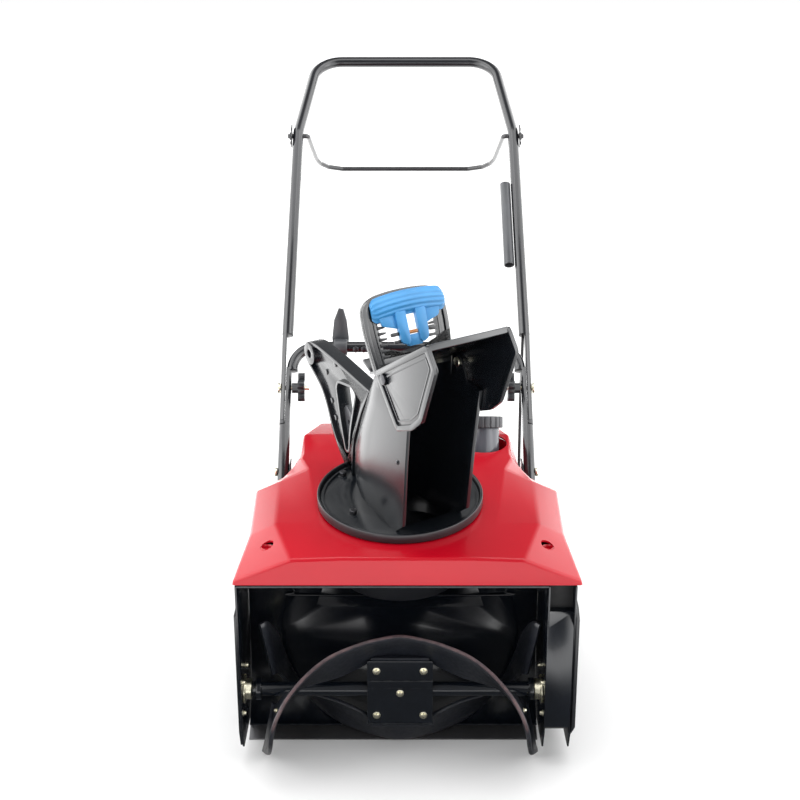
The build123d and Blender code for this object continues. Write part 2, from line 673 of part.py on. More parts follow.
def starting_controls():
    """Primer bulb, push key and choke knob."""
    with BuildPart() as bulb:
        with BuildSketch(Plane(origin=(BULB[0], PANEL_Y - 14, BULB[1]), x_dir=(1, 0, 0), z_dir=(0, 1, 0))):
            Circle(15)
        extrude(amount=30)
        fillet(bulb.faces().sort_by(Axis.Y)[-1].edges(), 9)
    save(bulb, "primer_bulb")
    with BuildPart() as key:
        with BuildSketch(Plane(origin=(KEY[0], PANEL_Y - 16, KEY[1]), x_dir=(1, 0, 0), z_dir=(0, 1, 0))):
            Circle(6)
        extrude(amount=35)
        block(KEY[0] - 3, KEY[0] + 3, PANEL_Y + 18, PANEL_Y + 40, KEY[1] - 13, KEY[1] + 13)
    save(key, "ignition_key")
    with BuildPart() as knob:
        with BuildSketch(Plane(origin=(CHOKE[0], PANEL_Y - 16, CHOKE[1]), x_dir=(1, 0, 0), z_dir=(0, 1, 0))):
            Circle(6)
        extrude(amount=20)
        with BuildSketch(Plane(origin=(CHOKE[0], PANEL_Y + 4, CHOKE[1]), x_dir=(1, 0, 0), z_dir=(0, 1, 0))):
            Circle(18)
        extrude(amount=5)
        block(CHOKE[0] - 4, CHOKE[0] + 4, PANEL_Y + 9, PANEL_Y + 21, CHOKE[1] - 16, CHOKE[1] + 16)
    save(knob, "choke_knob")


def oil_cap():
    """Oil filler plug with a finger bar, low on the front of the crankcase."""
    with BuildPart() as cap:
        with BuildSketch(Plane(origin=(95, 318.2, 186), x_dir=(1, 0, 0), z_dir=(0, 1, 0))):
            Circle(13)
        extrude(amount=6)
        block(92, 98, 324, 329, 176, 196)
    save(cap, "oil_cap")


# ---- handle -------------------------------------------------------------------------------
def half_tube(x, l0, l1, outboard, mode=Mode.ADD):
    """Tube end pressed to a half-round section along the handle line."""
    s = math.copysign(1, x)
    p0, p1 = Vector(*handle_point(x, l0)), Vector(*handle_point(x, l1))
    with BuildSketch(Plane(origin=p0, x_dir=(1, 0, 0), z_dir=p1 - p0)) as section:
        Circle(PRESSED_R)
        with Locations((-s * (50 - 0.4) if outboard else s * (50 - 0.4), 0)):
            Rectangle(100, 60, mode=Mode.SUBTRACT)
    extrude(section.sketch, amount=(p1 - p0).length, mode=mode)


def lower_handle():
    """Lower tube: two legs on the frame, half-round stretches at the fold, and the crossbar."""
    inner_x = HANDLE_X - TUBE_R - 0.4
    start, end = handle_point(0, BAR_TURN_L - 2), handle_point(0, CROSSBAR_L)
    with BuildPart() as piece:
        pipe(
            [
                (-inner_x, *start[1:]),
                (-inner_x, *end[1:]),
                (inner_x, *end[1:]),
                (inner_x, *start[1:]),
            ],
            48,
            TUBE_R - 0.4,
        )
        for x in (-HANDLE_X, HANDLE_X):
            pipe([handle_point(x, LEG_END_L), handle_point(x, UPPER_END_L - 10)], 0, TUBE_R)
            half_tube(x, UPPER_END_L - 11, BAR_TURN_L + 2, False)
            y, z = handle_point(0, FOLD_L)[1:]
            rod(y, z, x - 30, x + 30, 4.1, mode=Mode.SUBTRACT)
    save(piece, "lower_handle")


def upper_handle():
    """Upper tube: half-round ends outside the lower tube, two uprights and the grip loop."""
    bend = handle_point(BEND_X, BEND_L)
    a = math.radians(LOOP_RAKE)
    top = (LOOP_HALF, bend[1] + LOOP_L * math.cos(a), bend[2] + LOOP_L * math.sin(a))
    right = [handle_point(HANDLE_X, SPLIT_L), bend, top]
    left = [(-x, y, z) for x, y, z in reversed(right)]
    with BuildPart() as piece:
        pipe(right + left, 62, TUBE_R)
        for x in (-HANDLE_X, HANDLE_X):
            half_tube(x, UPPER_END_L, SPLIT_L + 1, True)
            y, z = handle_point(0, FOLD_L)[1:]
            rod(y, z, x - 30, x + 30, 4.0 + PLAY, mode=Mode.SUBTRACT)
        y, z = handle_point(0, BAIL_PIVOT_L)[1:]
        rod(y, z, -260, 260, BAIL_R + PLAY, mode=Mode.SUBTRACT)
    save(piece, "upper_handle")


def fold_hardware():
    """Fold bolts with their dished saddle plates, and the two star knobs."""
    y, z = handle_point(0, FOLD_L)[1:]
    with BuildPart() as bolts:
        for s in (-1, 1):
            head = sorted((s * (HANDLE_X + TUBE_R + 0.4), s * (HANDLE_X + TUBE_R + 5)))
            rod(y, z, *head, 10)
            stem = sorted((s * (HANDLE_X - 46), s * (HANDLE_X + TUBE_R + 1)))
            rod(y, z, *stem, 4.0)
    save(bolts, "fold_bolts")
    for name, s in (("left", -1), ("right", 1)):
        with BuildPart() as knob:
            boss = sorted((s * (HANDLE_X - 24), s * (HANDLE_X - TUBE_R - 0.8)))
            rod(y, z, *boss, 10)
            face = min(s * (HANDLE_X - 37), s * (HANDLE_X - 24))
            with BuildSketch(side(face)):
                with Locations((y, z)):
                    Circle(19)
                    with PolarLocations(21, 5):
                        Circle(8.5)
            extrude(amount=13)
            rod(y, z, -300, 300, 4.0 + PLAY, mode=Mode.SUBTRACT)
        save(knob, f"{name}_fold_knob")


def handle_screws():
    """Screws that hold the lower handle to the frame's ears, and two on the crossbar."""
    with BuildPart() as piece:
        for s in (-1, 1):
            for length in (-40, -8):
                y, z = handle_point(0, length)[1:]
                out = sorted((s * (HANDLE_X + TUBE_R + 0.1), s * (HANDLE_X + TUBE_R + 5)))
                rod(y, z, *out, 8)
        y, z = handle_point(0, CROSSBAR_L)[1:]
        for x in (LEVER_X + 46, LEVER_X + 30):
            with BuildSketch(Plane(origin=(x, y - TUBE_R, z), z_dir=(0, -1, 0))) as head:
                RegularPolygon(6.5, 6)
            extrude(head.sketch, amount=6)
    save(piece, "handle_screws")


def end_caps():
    """Plastic plugs over the uprights' lower ends."""
    with BuildPart() as piece:
        for x in (-HANDLE_X, HANDLE_X):
            half_tube(x, UPPER_END_L - 8, UPPER_END_L - 0.2, True)
    save(piece, "tube_end_caps")


def bail():
    """Control bail: a bent rod hinged in the uprights, hanging below the grip loop."""
    y, z = handle_point(0, BAIL_PIVOT_L)[1:]
    a = math.radians(BAIL_DROP)

    def out(x, reach):
        return (x, y + reach * math.cos(a), z + reach * math.sin(a))

    right = [out(BEND_X + 22, 0), out(206, 0), out(197, 158), out(190, 192), out(174, 220), out(142, BAIL_REACH)]
    left = [(-px, py, pz) for px, py, pz in reversed(right)]
    with BuildPart() as piece:
        pipe(right + left, 6.5, BAIL_R)
    save(piece, "control_bail")


def bail_clips():
    """Push-on caps that keep the bail's ends in the uprights."""
    y, z = handle_point(0, BAIL_PIVOT_L)[1:]
    with BuildPart() as piece:
        for s in (-1, 1):
            ends = sorted((s * (BEND_X + TUBE_R + 1.2), s * (BEND_X + TUBE_R + 7)))
            rod(y, z, *ends, 8, BAIL_R)
    save(piece, "bail_clips")


def tool_tube():
    """Open plastic tube clipped along the inside of the right upright."""
    slope = (BEND_X - HANDLE_X) / (BEND_L - SPLIT_L)
    x0 = HANDLE_X + slope * (TOOL_L0 - SPLIT_L) - TUBE_R - TOOL_R - 0.8
    x1 = HANDLE_X + slope * (TOOL_L1 - SPLIT_L) - TUBE_R - TOOL_R - 0.8
    with BuildPart() as piece:
        pipe([handle_point(x0, TOOL_L0), handle_point(x1, TOOL_L1)], 0, TOOL_R, 1.5)
    save(piece, "tool_tube")


def bail_cable():
    """Sheathed cable from the bail down the back of the right upright."""
    with BuildPart() as piece:
        slope = (BEND_X - HANDLE_X) / (BEND_L - SPLIT_L)
        points = []
        for length in (CROSSBAR_L + 60, 660):
            x = HANDLE_X + slope * (length - SPLIT_L)
            points.append(handle_point(x, length, -(TUBE_R + 3.2)))
        pipe(points, 0, 3)
    save(piece, "bail_cable")


def crossbar_lever():
    """Upright hand lever with a collar round the crossbar, and the clamp screw beside it."""
    y, z = handle_point(0, CROSSBAR_L)[1:]
    with BuildPart() as lever:
        rod(y, z, LEVER_X - 13, LEVER_X + 13, TUBE_R + 5, TUBE_R - 0.4 + PLAY)
        blade = [(-13, -26), (-7, -30), (7, -30), (14, -8), (16, 14), (12, 50), (6, 72), (-4, 74), (-13, 50), (-17, 14)]
        with BuildSketch(Plane(origin=(LEVER_X, y + TUBE_R + 11, z), x_dir=(1, 0, 0), z_dir=(0, -1, 0))):
            Polygon(*blade, align=None)
        extrude(amount=8)
    save(lever, "crossbar_lever")


# ---- chute --------------------------------------------------------------------------------
CHUTE_SECTIONS = [  # height, half width, front edge, back corner, rear face, half width there
    (-22, 62, 62, -16, -88, 40),
    (32, 64, 124, -25, -98, 40),
    (85, 65, 129, -30, -92, 40),
    (150, 66, 135, -12, -62, 42),
    (215, 67, 143, 16, -28, 44),
    (262, 68, 150, 36, 0, 46),
]


def channel(inset, mode):
    """The chute's U-shaped channel as a solid; an inset hollows it and opens its front."""
    outlines = []
    for i, (h, half, front, corner, rear, rear_half) in enumerate(CHUTE_SECTIONS):
        level = h + (0 if not inset else -1 if i == 0 else 1 if i == len(CHUTE_SECTIONS) - 1 else 0)
        nose = front + (90 if inset else 0)
        right = [(half - inset, -nose), (half - inset, -corner), (rear_half - inset, -rear - inset)]
        left = [(-x, y) for x, y in reversed(right)]
        with BuildSketch(chute_level(level)) as outline:
            Polygon(*right, *left, align=None)
        outlines.append(outline.sketch)
    loft(outlines, ruled=True, mode=mode)


def cross_pin(a, h, w0, w1, radius, mode=Mode.ADD):
    """A round bar across the chute, w0 to w1 to its right."""
    with BuildSketch(chute_side(w1)) as section:
        with Locations((a, h)):
            Circle(radius)
    extrude(section.sketch, amount=w1 - w0, mode=mode)


def chute_body():
    """Turning chute: open-fronted channel on a round flange that rides in the ring."""
    inner_r = NECK_R - 8
    with BuildPart() as shell:
        channel(0, Mode.ADD)
        channel(SHEET, Mode.SUBTRACT)
        for w in (CHUTE_W - 0.3, -CHUTE_W + SHEET + 0.3):
            with BuildSketch(chute_side(w)) as ear:
                with Locations((PIVOT_A, PIVOT_H)):
                    Circle(11)
                Polygon((52, 255), (108, 255), (PIVOT_A + 9, PIVOT_H + 6), (PIVOT_A - 9, PIVOT_H + 6), align=None)
            extrude(ear.sketch, amount=SHEET)
        cross_pin(PIVOT_A, PIVOT_H, -90, 90, 4.05, Mode.SUBTRACT)
    with BuildPart() as piece:
        with BuildSketch(chute_level(6.6)):
            Circle(RING_R - 6)
        extrude(amount=3.4)
        with BuildSketch(chute_level(-10)):
            Circle(NECK_R - 4)
        extrude(amount=17)
        with BuildSketch(chute_level(-11)):
            Polygon((60, -200), (60, 20), (37, 92), (-37, 92), (-60, 20), (-60, -200), align=None)
            Circle(inner_r, mode=Mode.INTERSECT)
        extrude(amount=30, mode=Mode.SUBTRACT)
        with BuildSketch(chute_level(-11)):
            Circle(inner_r)
        extrude(amount=17, mode=Mode.SUBTRACT)
        add(shell.part)
    save(piece, "chute_body")


def chute_arm():
    """Two-legged crank arm behind the chute, with a window between the legs and a round grip."""
    outline = [(-33, 207), (-170, 212), (-236, 211), (-262, 206), (-279, 194), (-284, 178), (-276, 162)]
    outline += [(-210, 130), (-176, 66), (-150, 36), (-130, 20), (-129, 10.3), (-101, 10.3), (-99.5, 40)]
    outline += [(-94, 86), (-65, 150)]
    window = [(-156, 160), (-150, 170), (-96, 182), (-86, 174), (-112, 98), (-116, 54), (-123, 50), (-141, 104)]
    with BuildPart() as piece:
        plate(chute_side(-15), outline, 26)
        plate(chute_side(-10), window, 40, Mode.SUBTRACT)
        with BuildSketch(chute_side(-13)) as grip:
            with Locations((-260, 183)):
                Circle(20)
        extrude(grip.sketch, amount=30)
    save(piece, "chute_arm")


def chute_bolts():
    """Bolts beside the chute's walls and its arm's foot, on the base flange."""
    with BuildPart() as piece:
        with BuildSketch(chute_level(10.1)):
            with Locations((-98, -14), (98, -14), (-54, 110), (54, 110)):
                RegularPolygon(7, 6)
        extrude(amount=7)
    save(piece, "chute_bolts")


CHEEK = [(49, 286), (212, 398), (240, 366), (200, 262), (172, 236), (122, 211)]


def deflector():
    """Hinged hood on the chute: two cheeks outside its walls and a roof between them."""
    outer = CHUTE_W + 4.5
    with BuildPart() as piece:
        plate(chute_side(outer), CHEEK, 3.5)
        plate(chute_side(3.5 - outer), CHEEK, 3.5)
        roof = [(22, 272), (49, 286), (212, 398), (214, 394.8), (51, 282.5), (24, 268.7)]
        plate(chute_side(outer), roof, 2 * outer)
        cross_pin(PIVOT_A, PIVOT_H, -90, 90, 4 + PLAY, Mode.SUBTRACT)
    save(piece, "deflector")


def frame_plane(off=0.0):
    """Plane of the deflector's handle: local x across, local y up the rails, z to the front."""
    level = chute_level(288)
    forward = -level.y_dir
    lean = math.atan2(49, 106)
    normal = forward * math.cos(lean) + CHUTE_UP * math.sin(lean)
    return Plane(origin=level.origin + forward * 46 + normal * off, x_dir=level.x_dir, z_dir=normal)


def deflector_handle():
    """Flat rails with a curved top bar that stand up behind the deflector."""
    with BuildPart() as piece:
        with BuildSketch(frame_plane(-5)):
            Polygon((-70, 2), (70, 2), (76, 60), (73, 100), (56, 118), (-56, 118), (-73, 100), (-76, 60), align=None)
            Polygon((-50, 14), (50, 14), (52, 92), (-52, 92), align=None, mode=Mode.SUBTRACT)
        extrude(amount=9)
    save(piece, "deflector_handle")


def trigger():
    """Squeeze bar with a slotted stem that frees the deflector's catch."""
    with BuildPart() as piece:
        with BuildSketch(frame_plane(4.6)):
            with Locations((2, 92)):
                RectangleRounded(132, 40, 9)
        extrude(amount=17)
        with BuildSketch(frame_plane(4.6)):
            Polygon((-30, 76), (34, 76), (28, 32), (-24, 32), align=None)
            with Locations((2, 60)):
                Rectangle(18, 22, mode=Mode.SUBTRACT)
        extrude(amount=9)
    save(piece, "deflector_trigger")


def pivot_screws():
    """Shoulder screws through the chute's ears that carry the deflector."""
    with BuildPart() as piece:
        for s in (-1, 1):
            for near, far, radius in ((60.8, 64.4, 8), (64.4, 72.7, 4), (72.7, 76, 9)):
                w0, w1 = sorted((s * near, s * far))
                cross_pin(PIVOT_A, PIVOT_H, w0, w1, radius)
    save(piece, "deflector_screws")


# ---- build --------------------------------------------------------------------------------
for build in (
    auger_housing,
    scraper,
    belt_case,
    belt_cover,
    chute_ring,
    neck_apron,
    hood,
    hood_screws,
    drive_belt,
    idler,
    rotor_shaft,
    bearings,
    centre_plates,
    paddle_bolts,
    engine_frame,
    wheels,
    engine_block,
    crankshaft,
    engine_shroud,
    recoil,
    tank,
    exhaust,
    carburettor,
    rear_panel,
    starting_controls,
    oil_cap,
    lower_handle,
    upper_handle,
    fold_hardware,
    handle_screws,
    end_caps,
    bail,
    bail_clips,
    tool_tube,
    bail_cable,
    crossbar_lever,
    chute_body,
    chute_arm,
    chute_bolts,
    deflector,
    deflector_handle,
    trigger,
    pivot_screws,
):
    build()
side_plate("left_side_plate", LEFT_WALL - SHEET, LEFT_WALL, 14)
side_plate("right_side_plate", COVER_X, COVER_X + SHEET, 14)
grooved_wheel("rotor_pulley", ROTOR_Y, ROTOR_Z, ROTOR_PULLEY_R, SHAFT_R)
grooved_wheel("engine_pulley", CRANK_Y, CRANK_Z, ENGINE_PULLEY_R, CRANK_R)
paddle("front_paddle", 0)
paddle("rear_paddle", 180)
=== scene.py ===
"""Looks for the single stage snowblower: every visible piece is built or finished round the CAD frame."""
import json
import math

import bmesh
import bpy
from mathutils import Matrix, Vector
from mathutils.geometry import tessellate_polygon


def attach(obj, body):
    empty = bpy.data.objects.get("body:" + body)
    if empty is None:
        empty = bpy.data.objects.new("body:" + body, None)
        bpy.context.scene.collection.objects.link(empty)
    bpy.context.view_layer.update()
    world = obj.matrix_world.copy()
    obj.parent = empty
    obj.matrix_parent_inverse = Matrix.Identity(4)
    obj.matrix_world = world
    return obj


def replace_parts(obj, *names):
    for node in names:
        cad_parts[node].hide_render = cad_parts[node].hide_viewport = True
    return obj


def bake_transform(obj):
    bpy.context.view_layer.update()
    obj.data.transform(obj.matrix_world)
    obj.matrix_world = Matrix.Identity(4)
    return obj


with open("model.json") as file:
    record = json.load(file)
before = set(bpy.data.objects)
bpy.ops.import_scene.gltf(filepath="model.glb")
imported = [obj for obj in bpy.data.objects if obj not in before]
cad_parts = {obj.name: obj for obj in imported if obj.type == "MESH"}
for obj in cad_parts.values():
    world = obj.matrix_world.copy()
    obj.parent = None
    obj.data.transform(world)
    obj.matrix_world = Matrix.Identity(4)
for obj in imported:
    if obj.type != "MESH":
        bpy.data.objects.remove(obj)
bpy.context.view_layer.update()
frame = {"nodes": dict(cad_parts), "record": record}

NODES = frame["nodes"]
MM = 0.001
AXIS_X, AXIS_Y, AXIS_Z = Vector((1, 0, 0)), Vector((0, 1, 0)), Vector((0, 0, 1))


# ---- node helpers -------------------------------------------------------------------------
def ranged(tree, source, low, high, out_low, out_high):
    """Maps a value range onto another, clamped, in any node tree."""
    node = tree.nodes.new("ShaderNodeMapRange")
    node.interpolation_type = "SMOOTHSTEP"
    for key, value in (("From Min", low), ("From Max", high), ("To Min", out_low), ("To Max", out_high)):
        node.inputs[key].default_value = value
    tree.links.new(source, node.inputs["Value"])
    return node.outputs["Result"]


def math_node(tree, operation, a, b=None):
    """A math node fed by sockets or numbers."""
    node = tree.nodes.new("ShaderNodeMath")
    node.operation = operation
    for index, value in enumerate((a, b)):
        if value is None:
            continue
        if isinstance(value, (int, float)):
            node.inputs[index].default_value = value
        else:
            tree.links.new(value, node.inputs[index])
    return node.outputs[0]


def sideways(tree, vector, low, high, out_low, out_high):
    """A value that rises away from the machine's centre plane."""
    split = tree.nodes.new("ShaderNodeSeparateXYZ")
    tree.links.new(vector, split.inputs[0])
    return ranged(tree, math_node(tree, "ABSOLUTE", split.outputs["X"]), low, high, out_low, out_high)


# ---- materials ----------------------------------------------------------------------------
class Look:
    """Small wrapper that builds a procedural material node by node."""

    def __init__(self, name):
        self.mat = bpy.data.materials.new(name)
        self.mat.use_nodes = True
        self.tree = self.mat.node_tree
        self.bsdf = self.tree.nodes["Principled BSDF"]
        self.coords = self.add("ShaderNodeTexCoord").outputs["Object"]

    def add(self, kind, **values):
        node = self.tree.nodes.new(kind)
        for key, value in values.items():
            setattr(node, key, value)
        return node

    def link(self, source, target):
        self.tree.links.new(source, target)

    def noise(self, scale, detail=4.0, roughness=0.6, stretch=None):
        """Noise factor output; stretch scales the axes to draw it out into streaks."""
        vector = self.coords
        if stretch:
            mapping = self.add("ShaderNodeMapping")
            mapping.inputs["Scale"].default_value = stretch
            self.link(vector, mapping.inputs["Vector"])
            vector = mapping.outputs["Vector"]
        node = self.add("ShaderNodeTexNoise")
        node.inputs["Scale"].default_value = scale
        node.inputs["Detail"].default_value = detail
        node.inputs["Roughness"].default_value = roughness
        self.link(vector, node.inputs["Vector"])
        return node.outputs["Fac"]

    def ramp(self, source, low, high, out_low=0.0, out_high=1.0):
        """Maps a value range onto another, clamped."""
        node = self.add("ShaderNodeMapRange")
        for key, value in (("From Min", low), ("From Max", high), ("To Min", out_low), ("To Max", out_high)):
            node.inputs[key].default_value = value
        self.link(source, node.inputs["Value"])
        return node.outputs["Result"]

    def mix(self, factor, a, b):
        """Colour mix; a and b are colours or sockets."""
        node = self.add("ShaderNodeMix", data_type="RGBA")
        for index, value in ((6, a), (7, b)):
            if isinstance(value, tuple):
                node.inputs[index].default_value = (*value, 1)
            else:
                self.link(value, node.inputs[index])
        if isinstance(factor, float):
            node.inputs[0].default_value = factor
        else:
            self.link(factor, node.inputs[0])
        return node.outputs[2]

    def edges(self, radius=0.0016):
        """Factor that rises along edges, broken up by noise; it marks rubbed edges and a painted edge
        highlight.
        """
        bevel = self.add("ShaderNodeBevel", samples=4)
        bevel.inputs["Radius"].default_value = radius
        turn = self.add("ShaderNodeVectorMath", operation="DOT_PRODUCT")
        self.link(bevel.outputs["Normal"], turn.inputs[0])
        self.link(self.add("ShaderNodeNewGeometry").outputs["Normal"], turn.inputs[1])
        worn_and_highlit = self.ramp(turn.outputs["Value"], 0.985, 0.85)
        product = self.add("ShaderNodeMath", operation="MULTIPLY")
        self.link(worn_and_highlit, product.inputs[0])
        self.link(self.ramp(self.noise(90, 5), 0.42, 0.62), product.inputs[1])
        return product.outputs[0]

    def bump(self, height, distance, strength=1.0, under=None):
        node = self.add("ShaderNodeBump")
        node.inputs["Strength"].default_value = strength
        node.inputs["Distance"].default_value = distance
        self.link(height, node.inputs["Height"])
        if under:
            self.link(under, node.inputs["Normal"])
        return node.outputs["Normal"]


def finish(
    name,
    colour,
    rough=0.35,
    spread=0.05,
    metal=0.0,
    coat=0.0,
    grain=900.0,
    grain_depth=0.00005,
    wave=0.0,
    dust=None,
    dust_amount=0.15,
    edge_wear_and_sheen=None,
    edge_wear_and_sheen_amount=0.5,
    shade=0.18,
    streaks=None,
    specular=0.5,
):
    """A moulded, painted, rubber or metal surface: grain, wear and painted edge highlight, dust, uneven
    gloss.
    """
    look = Look(name)
    bsdf = look.bsdf
    dark = tuple(c * (1 - shade) for c in colour)
    light = tuple(min(1.0, c * (1 + shade)) for c in colour)
    base = look.mix(look.ramp(look.noise(9, 3), 0.3, 0.7), dark, light)
    if dust:
        patch = look.ramp(look.noise(26, 6, 0.7), 0.5, 0.8, 0.0, dust_amount)
        base = look.mix(patch, base, dust)
    # Lightened edges: partly rubbed paint, partly a painted edge highlight standing in for the gleam along
    # edges.
    if edge_wear_and_sheen:
        worn_and_highlit = look.ramp(look.edges(), 0.0, 1.0, 0.0, edge_wear_and_sheen_amount)
        base = look.mix(worn_and_highlit, base, edge_wear_and_sheen)
    look.link(base, bsdf.inputs["Base Color"])
    fine = look.noise(140, 5, 0.65, streaks)
    look.link(look.ramp(fine, 0.3, 0.7, max(0.02, rough - spread), rough + spread), bsdf.inputs["Roughness"])
    normal = look.bump(look.noise(grain, 2, 0.5, streaks), grain_depth, 0.4)
    if wave:
        normal = look.bump(look.noise(7, 2), wave, 0.35, normal)
    look.link(normal, bsdf.inputs["Normal"])
    bsdf.inputs["Metallic"].default_value = metal
    bsdf.inputs["Coat Weight"].default_value = coat
    bsdf.inputs["Coat Roughness"].default_value = 0.08
    bsdf.inputs["Specular IOR Level"].default_value = specular
    return look.mat


def rubber_blade():
    """Rubber that is dark over the blade and scuffed pinkish brown at its sweeping edge, grey at the tips."""
    look = Look("paddle_rubber")
    split = look.add("ShaderNodeSeparateXYZ")
    look.link(look.coords, split.inputs[0])
    tree = look.tree
    out = math_node(tree, "SUBTRACT", split.outputs["Y"], -0.047)
    rise = math_node(tree, "SUBTRACT", split.outputs["Z"], 0.1265)
    out_square, rise_square = (math_node(tree, "MULTIPLY", value, value) for value in (out, rise))
    square = math_node(tree, "ADD", out_square, rise_square)
    reach = math_node(tree, "SQRT", square)
    scuffs = look.ramp(look.noise(60, 6, 0.7), 0.35, 0.7, 0.25, 1.0)
    edge = math_node(tree, "MULTIPLY", look.ramp(reach, 0.1215, 0.1245), scuffs)
    band = math_node(tree, "MULTIPLY", look.ramp(reach, 0.095, 0.12, 0.0, 0.16), scuffs)
    base = look.mix(look.ramp(look.noise(9, 3), 0.3, 0.7), (0.007, 0.009, 0.014), (0.014, 0.016, 0.022))
    base = look.mix(band, base, (0.12, 0.12, 0.13))
    base = look.mix(edge, base, (0.15, 0.08, 0.08))
    low = look.ramp(split.outputs["Z"], 0.075, 0.03)
    tips = math_node(tree, "MULTIPLY", sideways(tree, look.coords, 0.212, 0.236, 0.0, 0.85), low)
    look.link(look.mix(tips, base, (0.17, 0.17, 0.17)), look.bsdf.inputs["Base Color"])
    look.link(look.ramp(look.noise(120, 5), 0.3, 0.7, 0.3, 0.48), look.bsdf.inputs["Roughness"])
    grain = look.bump(look.noise(900, 2), 0.00005, 0.4)
    look.link(look.bump(look.noise(40, 4), 0.0004, 0.4, grain), look.bsdf.inputs["Normal"])
    return look.mat


GREY_DUST = (0.22, 0.22, 0.23)
ROAD_DUST = (0.2, 0.19, 0.17)
# Bare steel colour for rubbed edges, also laid on paint as a painted edge highlight.
BARE_STEEL_AND_SHEEN = (0.42, 0.41, 0.4)
MATERIALS = {
    "black_paint": finish(
        "black_paint", (0.005, 0.007, 0.011), 0.2, 0.012, coat=0.2, wave=0.0006, grain=2200,
        grain_depth=0.000006, dust=GREY_DUST, dust_amount=0.008, edge_wear_and_sheen=BARE_STEEL_AND_SHEEN, edge_wear_and_sheen_amount=0.15,
    ),
    "tube_paint": finish(
        "tube_paint", (0.008, 0.009, 0.012), 0.22, 0.02, coat=0.3, grain=2200, grain_depth=0.000006,
        edge_wear_and_sheen=BARE_STEEL_AND_SHEEN, edge_wear_and_sheen_amount=0.1,
    ),
    "hood_red": finish(
        "hood_red", (0.5, 0.003, 0.014), 0.24, 0.015, coat=0.1, grain=2400, grain_depth=0.000005,
        wave=0.0005, shade=0.04, specular=0.35,
    ),
    "chute_black": finish(
        "chute_black", (0.007, 0.009, 0.012), 0.23, 0.012, grain=2600, grain_depth=0.000005,
        wave=0.0004, dust=GREY_DUST, dust_amount=0.008, specular=0.8,
    ),
    "ring_black": finish(
        "ring_black", (0.014, 0.015, 0.018), 0.33, 0.03, grain=1800, grain_depth=0.00002,
        dust=GREY_DUST, dust_amount=0.03,
    ),
    # Lighter blue edges: partly rubbed plastic, partly a painted edge highlight.
    "trigger_blue": finish(
        "trigger_blue", (0.05, 0.28, 0.6), 0.4, 0.05, grain=1400, grain_depth=0.00003,
        shade=0.12, edge_wear_and_sheen=(0.3, 0.55, 0.85), edge_wear_and_sheen_amount=0.4,
    ),
    "paddle_rubber": rubber_blade(),
    "tyre_rubber": finish(
        "tyre_rubber", (0.02, 0.02, 0.021), 0.7, 0.12, grain=600, grain_depth=0.00015,
        dust=ROAD_DUST, dust_amount=0.3,
    ),
    "zinc": finish(
        "zinc", (0.86, 0.82, 0.64), 0.3, 0.06, metal=1.0, grain=1600, grain_depth=0.00002, shade=0.12,
    ),
    "dark_screw": finish("dark_screw", (0.05, 0.05, 0.055), 0.3, 0.05, metal=0.8),
    "rope": finish("rope", (0.03, 0.03, 0.032), 0.8, 0.1, grain=900, grain_depth=0.0002),
    "gasket": finish("gasket", (0.006, 0.006, 0.007), 0.6, 0.05),
    "steel": finish("steel", (0.55, 0.56, 0.58), 0.3, 0.1, metal=1.0, streaks=(40, 1, 1)),
    "cast": finish(
        "cast", (0.48, 0.49, 0.51), 0.5, 0.1, metal=1.0, grain=420, grain_depth=0.0003,
        dust=(0.1, 0.09, 0.08), dust_amount=0.4,
    ),
    "rim_plastic": finish(
        "rim_plastic", (0.04, 0.041, 0.045), 0.45, 0.08, dust=ROAD_DUST, dust_amount=0.2,
    ),
    "grey_plastic": finish(
        "grey_plastic", (0.055, 0.058, 0.064), 0.38, 0.05, grain=1400, grain_depth=0.00003,
    ),
    "tank_plastic": finish(
        "tank_plastic", (0.09, 0.097, 0.115), 0.22, 0.03, shade=0.1, grain=1800, grain_depth=0.00001,
    ),
    "belt_rubber": finish("belt_rubber", (0.015, 0.015, 0.015), 0.65, 0.1),
    "bail_paint": finish(
        "bail_paint", (0.02, 0.02, 0.023), 0.3, 0.08, coat=0.2, edge_wear_and_sheen=BARE_STEEL_AND_SHEEN, edge_wear_and_sheen_amount=0.3,
    ),
    "wear_strip": finish(
        "wear_strip", (0.1, 0.1, 0.105), 0.45, 0.15, metal=0.8, streaks=(2, 30, 2),
        edge_wear_and_sheen=BARE_STEEL_AND_SHEEN, edge_wear_and_sheen_amount=0.8,
    ),
    "red_control": finish("red_control", (0.65, 0.015, 0.015), 0.35, 0.08, shade=0.08),
    "bulb_rubber": finish("bulb_rubber", (0.1, 0.008, 0.01), 0.5, 0.1),
    "copper_spring": finish("copper_spring", (0.5, 0.2, 0.06), 0.35, 0.1, metal=0.8),
    "muffler_steel": finish(
        "muffler_steel", (0.3, 0.28, 0.26), 0.5, 0.15, metal=0.9, dust=(0.25, 0.12, 0.06), dust_amount=0.35,
    ),
}
SLOT_OF = {s["node"]: s["material_slot"] for s in frame["record"]["subparts"]}
BODY_OF = {n: b for b, ns in frame["record"]["behaviour"]["bodies"].items() for n in ns}


# ---- mesh helpers -------------------------------------------------------------------------
def new_piece(name, bm, slot, body, smooth_angle=35):
    """Turns a bmesh into a finished piece on a body."""
    bm.normal_update()
    mesh = bpy.data.meshes.new(name)
    bm.to_mesh(mesh)
    bm.free()
    obj = bpy.data.objects.new(name, mesh)
    bpy.context.scene.collection.objects.link(obj)
    mesh.materials.append(MATERIALS[slot])
    shade(obj, smooth_angle)
    if body:
        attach(obj, body)
    return obj


def shade(obj, angle):
    """Smooth faces with sharp edges above an angle."""
    obj.data.polygons.foreach_set("use_smooth", [True] * len(obj.data.polygons))
    obj.data.set_sharp_from_angle(angle=math.radians(angle))


